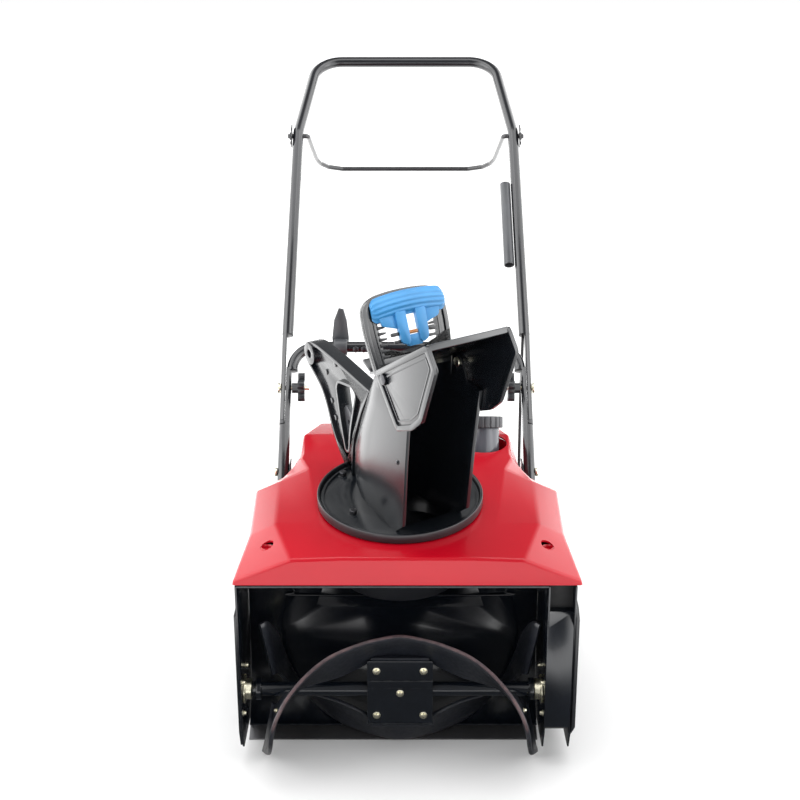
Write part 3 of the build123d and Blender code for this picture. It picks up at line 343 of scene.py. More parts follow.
def apply_modifiers(obj):
    """Bakes an object's modifiers into its mesh."""
    graph = bpy.context.evaluated_depsgraph_get()
    mesh = bpy.data.meshes.new_from_object(obj.evaluated_get(graph))
    old = obj.data
    obj.modifiers.clear()
    obj.data = mesh
    bpy.data.meshes.remove(old)


def cad_bmesh(node):
    """A clean copy of a CAD node's mesh, with flat areas joined into single faces."""
    bm = bmesh.new()
    bm.from_mesh(NODES[node].data)
    bmesh.ops.remove_doubles(bm, verts=bm.verts, dist=1e-6)
    bmesh.ops.dissolve_limit(bm, angle_limit=math.radians(0.6), verts=bm.verts, edges=bm.edges)
    return bm


DARK_SCREWS = {  # nodes whose screws are blackened where the test holds
    "deflector_screws": lambda p: (p - CHUTE_O * MM).dot(RIGHT) < 0,
    "chute_bolts": lambda p: True,
    "handle_screws": lambda p: abs(p.x) < 0.18,  # those on the crossbar
}


def softened(node, width=0.0008, segments=2, angle=40):
    """A CAD node's shape with its hard edges rolled over, standing in for the node."""
    bm = cad_bmesh(node)
    piece = new_piece(node + "_finished", bm, SLOT_OF[node], None)
    bevel = piece.modifiers.new("edge", "BEVEL")
    bevel.width = width
    bevel.segments = segments
    bevel.limit_method = "ANGLE"
    bevel.angle_limit = math.radians(angle)
    bevel.use_clamp_overlap = True
    bevel.harden_normals = False
    apply_modifiers(piece)
    shade(piece, 35)
    if node in DARK_SCREWS:
        piece.data.materials.append(MATERIALS["dark_screw"])
        for face in piece.data.polygons:
            face.material_index = int(DARK_SCREWS[node](face.center))
    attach(piece, BODY_OF[node])
    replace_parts(piece, node)
    return piece


# ---- outlines and shells ------------------------------------------------------------------
def rounded(points, radius, steps=4):
    """A closed flat outline with its corners turned; radius is one number or one per corner."""
    count = len(points)
    radii = radius if isinstance(radius, (list, tuple)) else [radius] * count
    out = []
    for i, corner in enumerate(points):
        here, before, after = Vector(corner), Vector(points[i - 1]), Vector(points[(i + 1) % count])
        reach = min(radii[i], (before - here).length * 0.48, (after - here).length * 0.48)
        if reach < 0.01:
            out.append(here)
            continue
        start = here + (before - here).normalized() * reach
        end = here + (after - here).normalized() * reach
        for k in range(steps + 1):
            t = k / steps
            out.append(start * (1 - t) ** 2 + here * (2 * t * (1 - t)) + end * t**2)
    return out


def inset(points, distance):
    """A closed outline moved inward by a distance, whichever way round it runs."""
    count = len(points)
    pts = [Vector(p) for p in points]
    turn = sum(pts[i - 1].x * pts[i].y - pts[i].x * pts[i - 1].y for i in range(count))
    sign = 1 if turn > 0 else -1
    out = []
    for i in range(count):
        a = (pts[i] - pts[i - 1]).normalized()
        b = (pts[(i + 1) % count] - pts[i]).normalized()
        na, nb = Vector((-a.y, a.x)) * sign, Vector((-b.y, b.x)) * sign
        m = (na + nb).normalized()
        out.append(pts[i] + m * (distance / max(0.4, m.dot(na))))
    return out


def slab(bm, loops, place, n0, n1):
    """Solid between two levels from an outline and its holes; place(u, v, n) gives each point."""
    flat = [p for loop in loops for p in loop]
    tris = tessellate_polygon([[Vector((p[0], p[1], 0)) for p in loop] for loop in loops])
    low = [bm.verts.new(place(p[0], p[1], n0)) for p in flat]
    high = [bm.verts.new(place(p[0], p[1], n1)) for p in flat]
    for tri in tris:
        bm.faces.new([low[i] for i in tri])
        bm.faces.new([high[i] for i in reversed(tri)])
    start = 0
    for loop in loops:
        count = len(loop)
        for i in range(count):
            j = (i + 1) % count
            bm.faces.new((low[start + i], low[start + j], high[start + j], high[start + i]))
        start += count


def skin(bm, rings, closed=True, capped=True):
    """Quads between rings of points, with end caps where asked."""
    verts = [[bm.verts.new(p) for p in points] for points in rings]
    count = len(rings[0])
    for lower, upper in zip(verts, verts[1:]):
        for i in range(count if closed else count - 1):
            j = (i + 1) % count
            bm.faces.new((lower[i], lower[j], upper[j], upper[i]))
    if capped:
        bm.faces.new(list(reversed(verts[0])))
        bm.faces.new(verts[-1])
    return verts


def made(name, bm, slot, body, bevel=0.8, segments=2, angle=30, nodes=()):
    """Closes a hand-built mesh: cleans it, rolls its edges, sets it on its body."""
    bmesh.ops.recalc_face_normals(bm, faces=bm.faces)
    bmesh.ops.dissolve_limit(bm, angle_limit=math.radians(0.3), verts=bm.verts, edges=bm.edges)
    piece = new_piece(name, bm, slot, None)
    if bevel:
        modifier = piece.modifiers.new("edge", "BEVEL")
        modifier.width = bevel * MM
        modifier.segments = segments
        modifier.limit_method = "ANGLE"
        modifier.angle_limit = math.radians(angle)
        apply_modifiers(piece)
    shade(piece, 35)
    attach(piece, body)
    if nodes:
        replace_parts(piece, *nodes)
    return piece


def ring(centre, across, up, radius, sides):
    """Points of a circle round a centre, in metres from millimetres."""
    angles = [2 * math.pi * k / sides for k in range(sides)]
    return [(centre + (across * math.cos(a) + up * math.sin(a)) * radius) * MM for a in angles]


def tube(bm, path, radius, sides=16):
    """Round bar along a list of points, with a steady roll and closed ends."""
    rings = []
    pts = [Vector(p) for p in path]
    up = None
    for i, p in enumerate(pts):
        along = (pts[min(i + 1, len(pts) - 1)] - pts[max(i - 1, 0)]).normalized()
        if up is None:
            up = along.orthogonal().normalized()
        up = (up - along * up.dot(along)).normalized()
        side = along.cross(up)
        rings.append(ring(p, up, side, radius, sides))
    skin(bm, rings)


def smooth_path(points, steps=8):
    """Points along a Catmull-Rom curve through the given ones."""
    pts = [Vector(p) for p in points]
    pts = [pts[0] * 2 - pts[1]] + pts + [pts[-1] * 2 - pts[-2]]
    out = []
    for i in range(1, len(pts) - 2):
        p0, p1, p2, p3 = pts[i - 1 : i + 3]
        for k in range(steps):
            t = k / steps
            bend = (p0 * 2 - p1 * 5 + p2 * 4 - p3) * t**2
            twist = (p1 * 3 - p0 - p2 * 3 + p3) * t**3
            out.append((p1 * 2 + (p2 - p0) * t + bend + twist) * 0.5)
    out.append(pts[-2])
    return out


# ---- the chute's own frame ----------------------------------------------------------------
TILT, HEADING = math.radians(7), math.radians(29)
CHUTE_O = Vector((-12, 85, 421))
UP = Vector((0, -math.sin(TILT), math.cos(TILT)))
STRAIGHT_BACK = Vector((0, math.cos(TILT), math.sin(TILT)))
RIGHT = Vector((1, 0, 0)) * math.cos(HEADING) + STRAIGHT_BACK * math.sin(HEADING)
FORWARD = -UP.cross(RIGHT)


def chute(a, h, w):
    """A point a ahead of the chute's axis, h up it and w to its right."""
    return (CHUTE_O + FORWARD * a + UP * h + RIGHT * w) * MM


LEAN = math.atan2(49, 106)
HANDLE_N = FORWARD * math.cos(LEAN) + UP * math.sin(LEAN)
HANDLE_V = HANDLE_N.cross(RIGHT)
HANDLE_O = CHUTE_O + UP * 288 + FORWARD * 46


def on_handle(u, v, n):
    """A point on the deflector's handle: u across, v up the rails, n in front of them."""
    return (HANDLE_O + RIGHT * u + HANDLE_V * v + HANDLE_N * n) * MM


WALLS = [  # height, half width, front edge, back corner, rear face, half width there
    (-22, 62, 62, -16, -88, 40),
    (32, 64, 124, -25, -98, 40),
    (85, 65, 129, -30, -92, 40),
    (150, 66, 135, -12, -62, 42),
    (215, 67, 143, 16, -28, 44),
    (262, 68, 150, 36, 0, 46),
]
CHEEK = [(49, 286), (212, 398), (240, 366), (200, 262), (172, 236), (122, 211)]
PIVOT = (78, 284)


def circle(u, v, r, count=32):
    """A round outline."""
    angles = [2 * math.pi * k / count for k in range(count)]
    return [(u + r * math.cos(a), v + r * math.sin(a)) for a in angles]


def chute_walls():
    """Open-fronted channel with turned back corners and rolled front edges, on its flange."""
    bm = bmesh.new()
    rings = []
    for h, half, front, corner, rear, rear_half in WALLS:
        outer = [(half, front), (half, corner), (rear_half, rear)]
        outer += [(-u, v) for u, v in reversed(outer)]
        outer = rounded(outer, [0.001, 26, 22, 22, 26, 0.001], 5)
        inner = inset(outer + [(-half, front + 40), (half, front + 40)], 3)[: len(outer)]
        inner[0], inner[-1] = Vector((half - 3, front - 14)), Vector((-half + 3, front - 14))
        bead_right = [(half - 3, front - 13), (half - 6, front - 9), (half - 6, front)]
        bead_left = [(-half + 6, front), (-half + 6, front - 9), (-half + 3, front - 13)]
        loop = list(outer) + bead_left + list(reversed(inner)) + bead_right
        rings.append([chute(p[1], h, p[0]) for p in loop])
    skin(bm, rings)
    for s in (-1, 1):
        ear = [(34, 256), (110, 252), (90, 291), (78, 297), (65, 290), (45, 275), (34, 267)]
        ear = rounded(ear, [1, 9, 9, 8, 8, 9, 2])
        slab(bm, [ear, circle(*PIVOT, 4.1)], chute, *sorted((s * 64.7, s * 67.7)))
    made("chute_walls", bm, "chute_black", "chute", 0.9)


def chute_flange():
    """Round base that turns in the ring, with an upturned bead and the opening between the walls."""
    bm = bmesh.new()

    def level(u, v, n):
        return chute(-v, n, u)

    opening = [(60, -92), (60, 20), (37, 92), (-37, 92), (-60, 20), (-60, -92)]
    opening = rounded(opening, [30, 10, 20, 20, 10, 30])
    slab(bm, [circle(0, 0, 137, 96), opening], level, 6.6, 10)
    slab(bm, [circle(0, 0, 113, 96), circle(0, 0, 109, 96)], level, -10, 7.4)
    slab(bm, [circle(0, 0, 136, 96), circle(0, 0, 131, 96)], level, 9.4, 12.6)
    for spot in ((-98, -14), (98, -14), (-54, 110), (54, 110)):
        slab(bm, [circle(*spot, 10, 24)], level, 9.6, 10.1)
    made("chute_flange", bm, "chute_black", "chute", 0.7, nodes=("chute_body",))


def deflector():
    """Two cheeks with raised borders and a roof with a rolled front lip."""
    bm = bmesh.new()
    rim = rounded(inset(CHEEK, 9), 5)
    edge = rounded(CHEEK, 8)
    groove = rounded(inset(CHEEK, 15), 4)
    core = rounded(inset(CHEEK, 17.5), 3)
    for s in (-1, 1):
        slab(bm, [edge, circle(*PIVOT, 4.1)], chute, *sorted((s * 69, s * 72)))
        slab(bm, [edge, rim], chute, *sorted((s * 71.6, s * 74.2)))
        slab(bm, [groove, core], chute, *sorted((s * 71.6, s * 72.9)))
    front = [(212, 398), (240, 366), (200, 262), (172, 236), (166, 243), (191, 266), (229, 365), (207, 389)]
    front = rounded(front, 4)
    for s in (-1, 1):
        slab(bm, [front], chute, *sorted((s * 67.7, s * 69.4)))
    roof = [(22, 272), (49, 286), (212, 398), (214, 394.6), (51, 282.4), (24, 268.6)]
    slab(bm, [roof], chute, -69.4, 69.4)
    lip = rounded([(203, 392.4), (212, 398.4), (218, 389.6), (209, 383.6)], 2.5)
    slab(bm, [lip], chute, -69.2, 69.2)
    for w in (-34, 0, 34):
        slab(bm, [[(60, 288), (60, 293), (196, 386.6), (200, 389.6), (196, 386)]], chute, w - 1.6, w + 1.6)
    hood_over = [(24, 268.6), (22, 272.4), (-5, 283), (-8, 280), (-5, 277.4)]
    slab(bm, [hood_over], chute, -66, 66)
    flap = [(-4.6, 281), (-7.6, 281), (-13, 256), (-10, 255.4)]
    slab(bm, [flap], chute, -44, 44)

    def plan(u, v, n):
        return chute(v, n, u)

    skirt = [(-60, 50), (-60, 38), (-41, 7), (41, 7), (60, 38), (60, 50)]
    skirt += [(58, 50), (58, 38.6), (40, 9), (-40, 9), (-58, 38.6), (-58, 50)]
    slab(bm, [skirt], plan, 256, 271)
    for s in (-1, 1):
        web = [(24, 268), (38, 256), (66, 256), (68, 292), (50, 284)]
        slab(bm, [web], chute, *sorted((s * 58, s * 60)))
    made("deflector_shell", bm, "chute_black", "deflector", 0.8, nodes=("deflector",))


def handle_frame():
    """Two rails and an arched top bar with a raised outer flange and ratchet teeth inside."""
    shape = [(-70, -14), (-76, 58), (-74, 100), (-52, 114), (-20, 118)]
    shape += [(-u, v) for u, v in reversed(shape)]
    radii = [3, 40, 18, 20, 20, 20, 20, 18, 40, 3]
    outer = rounded(shape, radii)
    hole = rounded([(-50, 12), (-52, 70), (-48, 95), (48, 95), (52, 70), (50, 12)], [3, 8, 10, 10, 8, 3])
    bm = bmesh.new()
    slab(bm, [outer, hole], on_handle, -4, 1.4)
    slab(bm, [outer, inset(outer, 6.5)], on_handle, -9, 4.4)
    slab(bm, [inset(outer, 16), inset(outer, 18.5)], on_handle, 1, 2.8)
    made("deflector_handle_frame", bm, "chute_black", "deflector", 1.2, 3, nodes=("deflector_handle",))
    bm = bmesh.new()
    for s in (-1, 1):
        for k in range(7):
            v = 12 + 9.5 * k
            tooth = [(s * 54, v), (s * 41, v + 1.2), (s * 39, v + 4), (s * 54, v + 6)]
            slab(bm, [tooth], on_handle, -4.5, 2.6)
    made("deflector_ratchet_teeth", bm, "ring_black", "deflector", 0.5)


BAR_MIDDLE = (6, 93)  # centre of the squeeze bar on the handle
BAR_BASE = 4.8  # its back, just clear of the handle frame
STEM_U = 5  # centre of its slotted stem


def trigger():
    """Ribbed squeeze bar, crowned across its width, on a slotted stem with a catch pin."""
    bm = bmesh.new()
    profile = []
    for k in range(49):
        t = k / 48
        ridge = 1.3 * (0.5 + 0.5 * math.cos(2 * math.pi * 5 * t))
        profile.append((-20 + 40 * t, 15.0 - 30 * (t - 0.5) ** 2 + ridge))
    profile += [(20, 5.5), (14, 5.0), (-14, 5.0), (-20, 5.5)]
    rings = []
    for i in range(33):
        t = -1 + 2 * i / 32
        end = math.sqrt(max(0.0, 1 - (max(0.0, abs(t) - 0.84) / 0.165) ** 2)) * 0.5 + 0.5
        centre = BAR_MIDDLE[1] + 2 - 6 * t * t
        drop = 3.5 * t * t
        section = []
        for v, n in profile:
            level = BAR_BASE + (n - BAR_BASE) * (0.5 + 0.5 * end) - drop * (n > 7)
            section.append(on_handle(BAR_MIDDLE[0] + 67 * t, centre + v * end, max(BAR_BASE, level)))
        rings.append(section)
    skin(bm, rings)
    for s in (-1, 1):
        leg = rounded([(s * 9, 82), (s * 28, 82), (s * 25, 32), (s * 13, 26), (s * 9, 32)], [1, 5, 6, 4, 1])
        slab(bm, [[(p[0] + STEM_U, p[1]) for p in leg]], on_handle, BAR_BASE, 14)
        shoulder = rounded([(s * 22, 80), (s * 56, 80), (s * 52, 64), (s * 22, 54)], 4)
        slab(bm, [[(p[0] + STEM_U, p[1]) for p in shoulder]], on_handle, BAR_BASE, 9.5)
    slab(bm, [rounded([(-11, 42), (21, 42), (18, 24), (-8, 24)], 3)], on_handle, BAR_BASE, 11)
    made("deflector_trigger_bar", bm, "trigger_blue", "trigger", 0.6, nodes=("deflector_trigger",))
    bm = bmesh.new()
    for s in (-1, 1):
        for tip, low, high, top in ((40, 44, 50, 10), (36, 32, 37, 9)):
            u0, u1 = STEM_U + s * 22, STEM_U + s * tip
            slab(bm, [rounded([(u0, low), (u1, low), (u1, high), (u0, high)], 2)], on_handle, 5, top)
    made("deflector_catch_fingers", bm, "ring_black", "trigger", 0.5)
    bm = bmesh.new()
    coil = []
    for k in range(61):
        a = 0.9 * k
        coil.append(on_handle(-3 + 16 * k / 60, 46 + 2.6 * math.cos(a), 8 + 2.6 * math.sin(a)) / MM)
    tube(bm, coil, 0.7, 8)
    made("deflector_catch_spring", bm, "copper_spring", "trigger", 0)


def arm():
    """Two-legged arm with deep ribs round its edges, a thin web, and a ribbed grip at its peak."""
    outline = [(-33, 207), (-170, 212), (-236, 211), (-262, 206), (-280, 194), (-285, 178), (-276, 162)]
    outline += [(-210, 130), (-176, 66), (-150, 36), (-130, 20), (-129, 10.3), (-101, 10.3), (-99.5, 40)]
    outline += [(-94, 86), (-65, 150)]
    radii = [3, 30, 20, 14, 12, 14, 16, 30, 30, 16, 3, 2, 2, 20, 20, 20]
    window = [(-156, 160), (-150, 172), (-98, 184), (-86, 176), (-110, 98), (-115, 54), (-124, 50)]
    window += [(-142, 104)]
    outer, hole = rounded(outline, radii, 5), rounded(window, [9, 8, 9, 9, 20, 6, 6, 20], 5)
    outer_rim, hole_rim = inset(outer, 5.5), inset(hole, -4.5)
    mid, half = -28, 12.8

    def at(u, v, n):
        return chute(u, v, mid + n)

    bm = bmesh.new()
    slab(bm, [outer, outer_rim], at, -half, half)
    slab(bm, [hole_rim, hole], at, -half, half)
    slab(bm, [inset(outer, 2), inset(hole, -2)], at, -7, 7)
    grip = (-260, 183)
    slab(bm, [circle(*grip, 20, 48), circle(*grip, 8, 24)], at, -15, 15)
    for k in range(9):
        a = math.radians(20 + 18 * k)
        u, v = grip[0] + 19 * math.cos(a), grip[1] + 19 * math.sin(a)
        slab(bm, [circle(u, v, 2.4, 10)], at, -14, 14)
    for u, v in ((-170, 198), (-205, 168), (-186, 120), (-172, 92)):
        slab(bm, [circle(u, v, 5, 20)], at, -9, 9)
    made("chute_crank_arm", bm, "chute_black", "chute", 0.9, 2, nodes=("chute_arm",))
    bm = bmesh.new()
    gusset = [(-146, 84), (-150, 118), (-138, 132), (-112, 118), (-104, 96), (-112, 50), (-126, 46)]
    gusset = rounded(gusset, 6)
    square = rounded([(-132, 96), (-124, 98), (-126, 106), (-134, 104)], 1)
    slab(bm, [gusset, square], at, -3.4, 3.4)
    made("chute_arm_gusset", bm, "grey_plastic", "chute", 0.6)


# ---- rotor and hardware -------------------------------------------------------------------
ROTOR = (-12, -47, 126.5)
PADDLE_EDGES = [  # from the middle to one tip: outer edge x, heading and radius, then the inner edge
    (0, 75, 124, 0, 92, 64),
    (39, 71, 124, 36, 92, 62),
    (75, 65, 124, 68, 88, 45),
    (117, 55, 124, 105, 72, 32),
    (153, 41, 124, 140, 55, 27),
    (182, 25, 124, 167, 38, 26),
    (200, 10, 124, 184, 20, 26),
    (211, -5, 122, 195, 5, 26),
    (216, -25, 111, 202, -15, 26),
    (220, -48, 105, 207, -38, 26),
    (225, -70, 113, 211, -60, 26),
    (230, -82, 122, 214, -76, 26),
    (238, -86, 120, 219, -84, 26),
]


def paddle(node, name, flip):
    """Moulded rubber blade: twisted sheet with a thick worn outer bead, clamped at mid length."""

    def at(x, heading, radius):
        a = math.radians(heading)
        return Vector((x, -radius * math.cos(a) * flip, radius * math.sin(a) * flip))

    rows = [(-x, a, r, -xi, ai, ri) for x, a, r, xi, ai, ri in reversed(PADDLE_EDGES[1:])] + PADDLE_EDGES
    outer = smooth_path([at(*row[:3]) for row in rows], 4)
    inner = smooth_path([at(*row[3:]) for row in rows], 4)
    rings = []
    for i, (o, n) in enumerate(zip(outer, inner)):
        across = (o - n).normalized()
        j, k = min(i + 1, len(outer) - 1), max(i - 1, 0)
        run = (outer[j] + inner[j] - outer[k] - inner[k]) * 0.5
        normal = across.cross(run).normalized()
        width = (o - n).length
        half = [(0, 2.4), (0.5, 3.1), (width - 14, 2.6), (width - 9, 3.4)]
        half += [(width - 2.2, 3.4), (width - 0.4, 2.2)]
        profile = [(u, -v) for u, v in half] + [(width, 0)] + list(reversed(half))
        centre = Vector(ROTOR)
        rings.append([(centre + n + across * u + normal * v) * MM for u, v in profile])
    bm = bmesh.new()
    skin(bm, rings)
    z0, z1 = (14, 66) if flip > 0 else (-66, -14)

    def slab_at(u, v, n):
        return Vector((ROTOR[0] + u, ROTOR[1] + n, ROTOR[2] + v)) * MM

    slab(bm, [rounded([(-50, z0), (50, z0), (50, z1), (-50, z1)], 3)], slab_at, -12.2, 12.2)
    bmesh.ops.recalc_face_normals(bm, faces=bm.faces)
    piece = new_piece(name, bm, "paddle_rubber", None, 40)
    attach(piece, "rotor")
    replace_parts(piece, node)


def clamp_plates():
    """Pressed plates with stiffening ridges and a turned lower lip."""
    bm = bmesh.new()
    outline = rounded([(-56, -62), (56, -62), (56, 62), (-56, 62)], 4)
    for side in (-1, 1):

        def at(u, v, n):
            return Vector((ROTOR[0] + u, ROTOR[1] + side * n, ROTOR[2] + v)) * MM

        slab(bm, [outline], at, 12.6, 15.1)
        for v, half in ((17, 7), (-60.4, 1.6)):
            ridge = rounded([(-55.8, v - half), (55.8, v - half), (55.8, v + half), (-55.8, v + half)], 1)
            slab(bm, [ridge], at, 14.8, 16.6)
    made("paddle_clamp_plates", bm, "black_paint", "rotor", 0.7, 3, nodes=("paddle_plates",))


BOLT_PROFILE = [  # radius and height as shares of the washer's radius and the head's height
    (1.0, 0.0),
    (1.0, 0.22),
    (0.92, 0.26),
    (0.66, 0.28),
    (0.64, 0.8),
    (0.56, 0.95),
    (0.3, 1.0),
]


def bolt_heads(name, spots, axis, radius, height, body, slot="zinc"):
    """Domed flange bolts, each at a place with its washer, facing along an axis."""
    bm = bmesh.new()
    out = Vector(axis).normalized()
    side = out.orthogonal().normalized()
    other = out.cross(side)
    for spot in spots:
        rings = [
            ring(Vector(spot) + out * (h * height), side, other, r * radius, 24) for r, h in BOLT_PROFILE
        ]
        skin(bm, rings)
    bmesh.ops.recalc_face_normals(bm, faces=bm.faces)
    return new_piece(name, bm, slot, body, 30)


def small_hardware():
    """Bolts on the clamp plates, the bearing flanges, the paddles' ends and the chute's wall."""
    pattern = ((-40, 43), (40, 43), (-40, -43), (40, -43), (0, 0))
    spots = [(ROTOR[0] + dx, ROTOR[1] - 15.2, ROTOR[2] + dz) for dx, dz in pattern]
    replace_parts(bolt_heads("paddle_bolt_heads", spots, (0, -1, 0), 6.5, 4.8, "rotor"), "paddle_bolts")
    for x, way, name in ((-279.8, 1, "left"), (231.8, -1, "right")):
        corners = [math.radians(45 + 90 * k) for k in range(4)]
        spots = [(x, ROTOR[1] + 42 * math.cos(a), ROTOR[2] + 42 * math.sin(a)) for a in corners]
        bolt_heads(f"{name}_bearing_bolts", spots, (way, 0, 0), 5.5, 6, "chassis")
    wall = [chute(112, 148, s * 66.2) / MM for s in (-1, 1)]
    bolt_heads("chute_left_wall_bolt", [wall[0]], -RIGHT, 4, 3, "chute", "dark_screw")
    bolt_heads("chute_right_wall_bolt", [wall[1]], RIGHT, 4, 3, "chute", "dark_screw")
    blade = bpy.data.objects["front_paddle_blade"]
    for s, name in ((-1, "left"), (1, "right")):
        start = Vector((ROTOR[0] + s * 260, ROTOR[1] - 37, ROTOR[2] - 20)) * MM
        hit, spot, normal, _ = blade.ray_cast(start, Vector((-s, 0, 0)))
        if hit:
            bolt_heads(f"{name}_paddle_end_bolt", [spot / MM - normal * 0.4], normal, 5.2, 5, "rotor")


def screw_cups():
    """Red cupped washers sunk in the hood's front corners, each with a hexagon screw."""
    bm = bmesh.new()
    for s in (-1, 1):
        centre = Vector((s * 233, -38, 382))
        cup = ((10.6, 0), (10.6, 7), (9.4, 9), (8.2, 7), (7.4, 2), (7.2, 0.6))
        hexagon = ((5.2, 0.2), (5.2, 4.2), (4.4, 5), (2.4, 5))
        for profile, sides in ((cup, 40), (hexagon, 6)):
            skin(bm, [ring(centre + AXIS_Z * z, AXIS_X, AXIS_Y, r, sides) for r, z in profile])
    made("hood_corner_screws", bm, "hood_red", "chassis", 0, nodes=("hood_screws",))


def intake_details():
    """Pressed creases on the intake's side walls and back."""
    bm = bmesh.new()
    for x in (-279.6, 231.6):
        crease = [(x, -60, 318), (x, 0, 300), (x, 40, 270), (x, 66, 262)]
        tube(bm, smooth_path(crease, 6), 2.2, 10)
    back = [(-205, 262), (-198, 246), (-186, 240), (162, 240), (174, 246), (181, 262)]
    tube(bm, smooth_path([(x, 80.6, z) for x, z in back], 6), 2.2, 10)
    bmesh.ops.recalc_face_normals(bm, faces=bm.faces)
    new_piece("housing_creases", bm, "black_paint", "chassis", 40)


FILLER = (143, 306)  # x and y of the fuel filler's opening in the hood
HANDLE_RAKE = math.radians(46)


def handle_line(x, length, off=0.0):
    """A point along the raked uprights; off is measured square to them, towards the front."""
    y = 340 + length * math.cos(HANDLE_RAKE) - off * math.sin(HANDLE_RAKE)
    z = 375 + length * math.sin(HANDLE_RAKE) + off * math.cos(HANDLE_RAKE)
    return Vector((x, y, z))


def cords():
    """Starter rope and the lower end of the control cable, laid in their rest places."""
    bm = bmesh.new()
    tube(bm, [(-100, 386 + 76 * k / 60, 366) for k in range(61)], 2.2, 10)
    bmesh.ops.recalc_face_normals(bm, faces=bm.faces)
    rope = new_piece("recoil_rope", bm, "rope", None)
    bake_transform(rope)
    bm = bmesh.new()
    beside_tube = [(233.4, 322, -14.3), (233, 300, -14.6), (230, 250, -20), (226, 180, -34), (223, 110, -48)]
    path = [handle_line(*place) for place in beside_tube]
    path += [(221, 424, 372), (219, 400, 322), (206, 372, 298), (196, 345, 292)]
    tube(bm, smooth_path(path, 10), 2.9, 12)
    bmesh.ops.recalc_face_normals(bm, faces=bm.faces)
    cable = new_piece("cable_tail", bm, "rope", None)
    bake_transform(cable)


def handle_details():
    """Bracket plates round the bail's ends, each with two round studs, and the stop knob under the crossbar
    lever.
    """
    bm = bmesh.new()
    for s in (-1, 1):

        def at(u, v, n):
            return handle_line(s * n, 750 + u, v) * MM

        plate = rounded([(-24, -9), (24, -9), (24, 9), (10, 15), (-10, 15), (-24, 9)], 4)
        slab(bm, [plate, circle(0, 0, 5.6, 24)], at, 238.6, 240.8)
        for u in (-17, 17):
            slab(bm, [circle(u, 0, 3.4, 16)], at, 240.4, 242.6)
    made("bail_brackets", bm, "bail_paint", "upper_handle", 0.5)
    bm = bmesh.new()
    centre = handle_line(-127, 256)

    def down(u, v, n):
        return (centre + Vector((u, v, -n))) * MM

    slab(bm, [circle(0, 0, 4, 20)], down, 14, 27)
    slab(bm, [circle(0, 0, 9, 32)], down, 26, 38)
    slab(bm, [circle(0, 0, 6.5, 32)], down, 37, 40)
    made("lever_stop_knob", bm, "grey_plastic", "crossbar_lever", 0.9)


def front_closures():
    """Moulded well round the fuel filler and a dark sheet closing the belt side's front under the hood."""
    bm = bmesh.new()

    def level(u, v, n):
        return Vector((u, v, n)) * MM

    def at(u, v, n):
        return Vector((u, n, v)) * MM

    well = circle(*FILLER, 45.5, 64)
    slab(bm, [well, circle(*FILLER, 43.6, 64)], level, 402, 437)
    slab(bm, [well, circle(FILLER[0], FILLER[1] - 12, 30, 48)], level, 401, 403.5)
    made("filler_well", bm, "hood_red", "chassis", 0.6)
    bm = bmesh.new()
    sheet = rounded([(233.2, 262), (275.7, 262), (275.7, 349), (233.2, 349)], 1)
    slab(bm, [sheet], at, -66, -64)
    made("belt_side_closure", bm, "gasket", "chassis", 0.3)


# ---- hood ---------------------------------------------------------------------------------
HOOD = [  # y, then the half outline from the lower edge to the flat top
    (-98, (287, 350), (287, 357), (190, 396), (110, 399)),
    (10, (284, 345), (266, 391), (222, 411), (150, 410.5)),
    (200, (282, 330), (274, 388), (230, 407), (176, 432)),
    (242, (278, 325), (264, 376), (224, 398), (192, 436)),
    (258, (218, 322), (217, 374), (212, 398), (190, 438)),
    (345, (218, 318), (216, 354), (207, 392), (194, 442)),
    (450, (214, 312), (206, 345), (190, 376), (170, 424)),
]


def hood():
    """Moulded cover: one skin with rolled ridges, thickened inward and opened for chute and filler."""
    bm = bmesh.new()
    rings = []
    for y, *half in HOOD:
        right = [Vector((x, y, z)) * MM for x, z in half]
        rings.append(right + [Vector((-p.x, p.y, p.z)) for p in reversed(right)])
    verts = skin(bm, rings, closed=False, capped=False)
    bm.faces.new(list(reversed(verts[0])))
    bmesh.ops.recalc_face_normals(bm, faces=bm.faces)
    piece = new_piece("hood_shell", bm, "hood_red", None)
    ridge = piece.modifiers.new("ridges", "BEVEL")
    ridge.width, ridge.segments = 0.0055, 4
    ridge.limit_method, ridge.angle_limit = "ANGLE", math.radians(7)
    apply_modifiers(piece)
    wall = piece.modifiers.new("wall", "SOLIDIFY")
    wall.thickness, wall.offset = 0.003, -1
    wall.use_even_offset = True
    apply_modifiers(piece)
    holes = [(CHUTE_O, UP, 125.5, 150), (Vector((*FILLER, 430)), AXIS_Z, 44, 100)]
    holes += [(Vector((s * 233, -38, 380)), AXIS_Z, 11, 60) for s in (-1, 1)]
    for centre, axis, radius, length in holes:
        cut = bmesh.new()
        turn = axis.to_track_quat("Z", "Y").to_matrix().to_4x4()
        bmesh.ops.create_cone(
            cut,
            cap_ends=True,
            segments=96,
            radius1=radius * MM,
            radius2=radius * MM,
            depth=length * MM,
            matrix=Matrix.Translation(centre * MM) @ turn,
        )
        mesh = bpy.data.meshes.new("cut")
        cut.to_mesh(mesh)
        cut.free()
        cutter = bpy.data.objects.new("cut", mesh)
        bpy.context.scene.collection.objects.link(cutter)
        boolean = piece.modifiers.new("hole", "BOOLEAN")
        boolean.operation, boolean.object, boolean.solver = "DIFFERENCE", cutter, "EXACT"
        apply_modifiers(piece)
        bpy.data.objects.remove(cutter)
    shade(piece, 30)
    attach(piece, "chassis")
    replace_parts(piece, "hood")


# ---- build --------------------------------------------------------------------------------
for node, obj in NODES.items():
    obj.data.materials.clear()
    obj.data.materials.append(MATERIALS[SLOT_OF[node]])

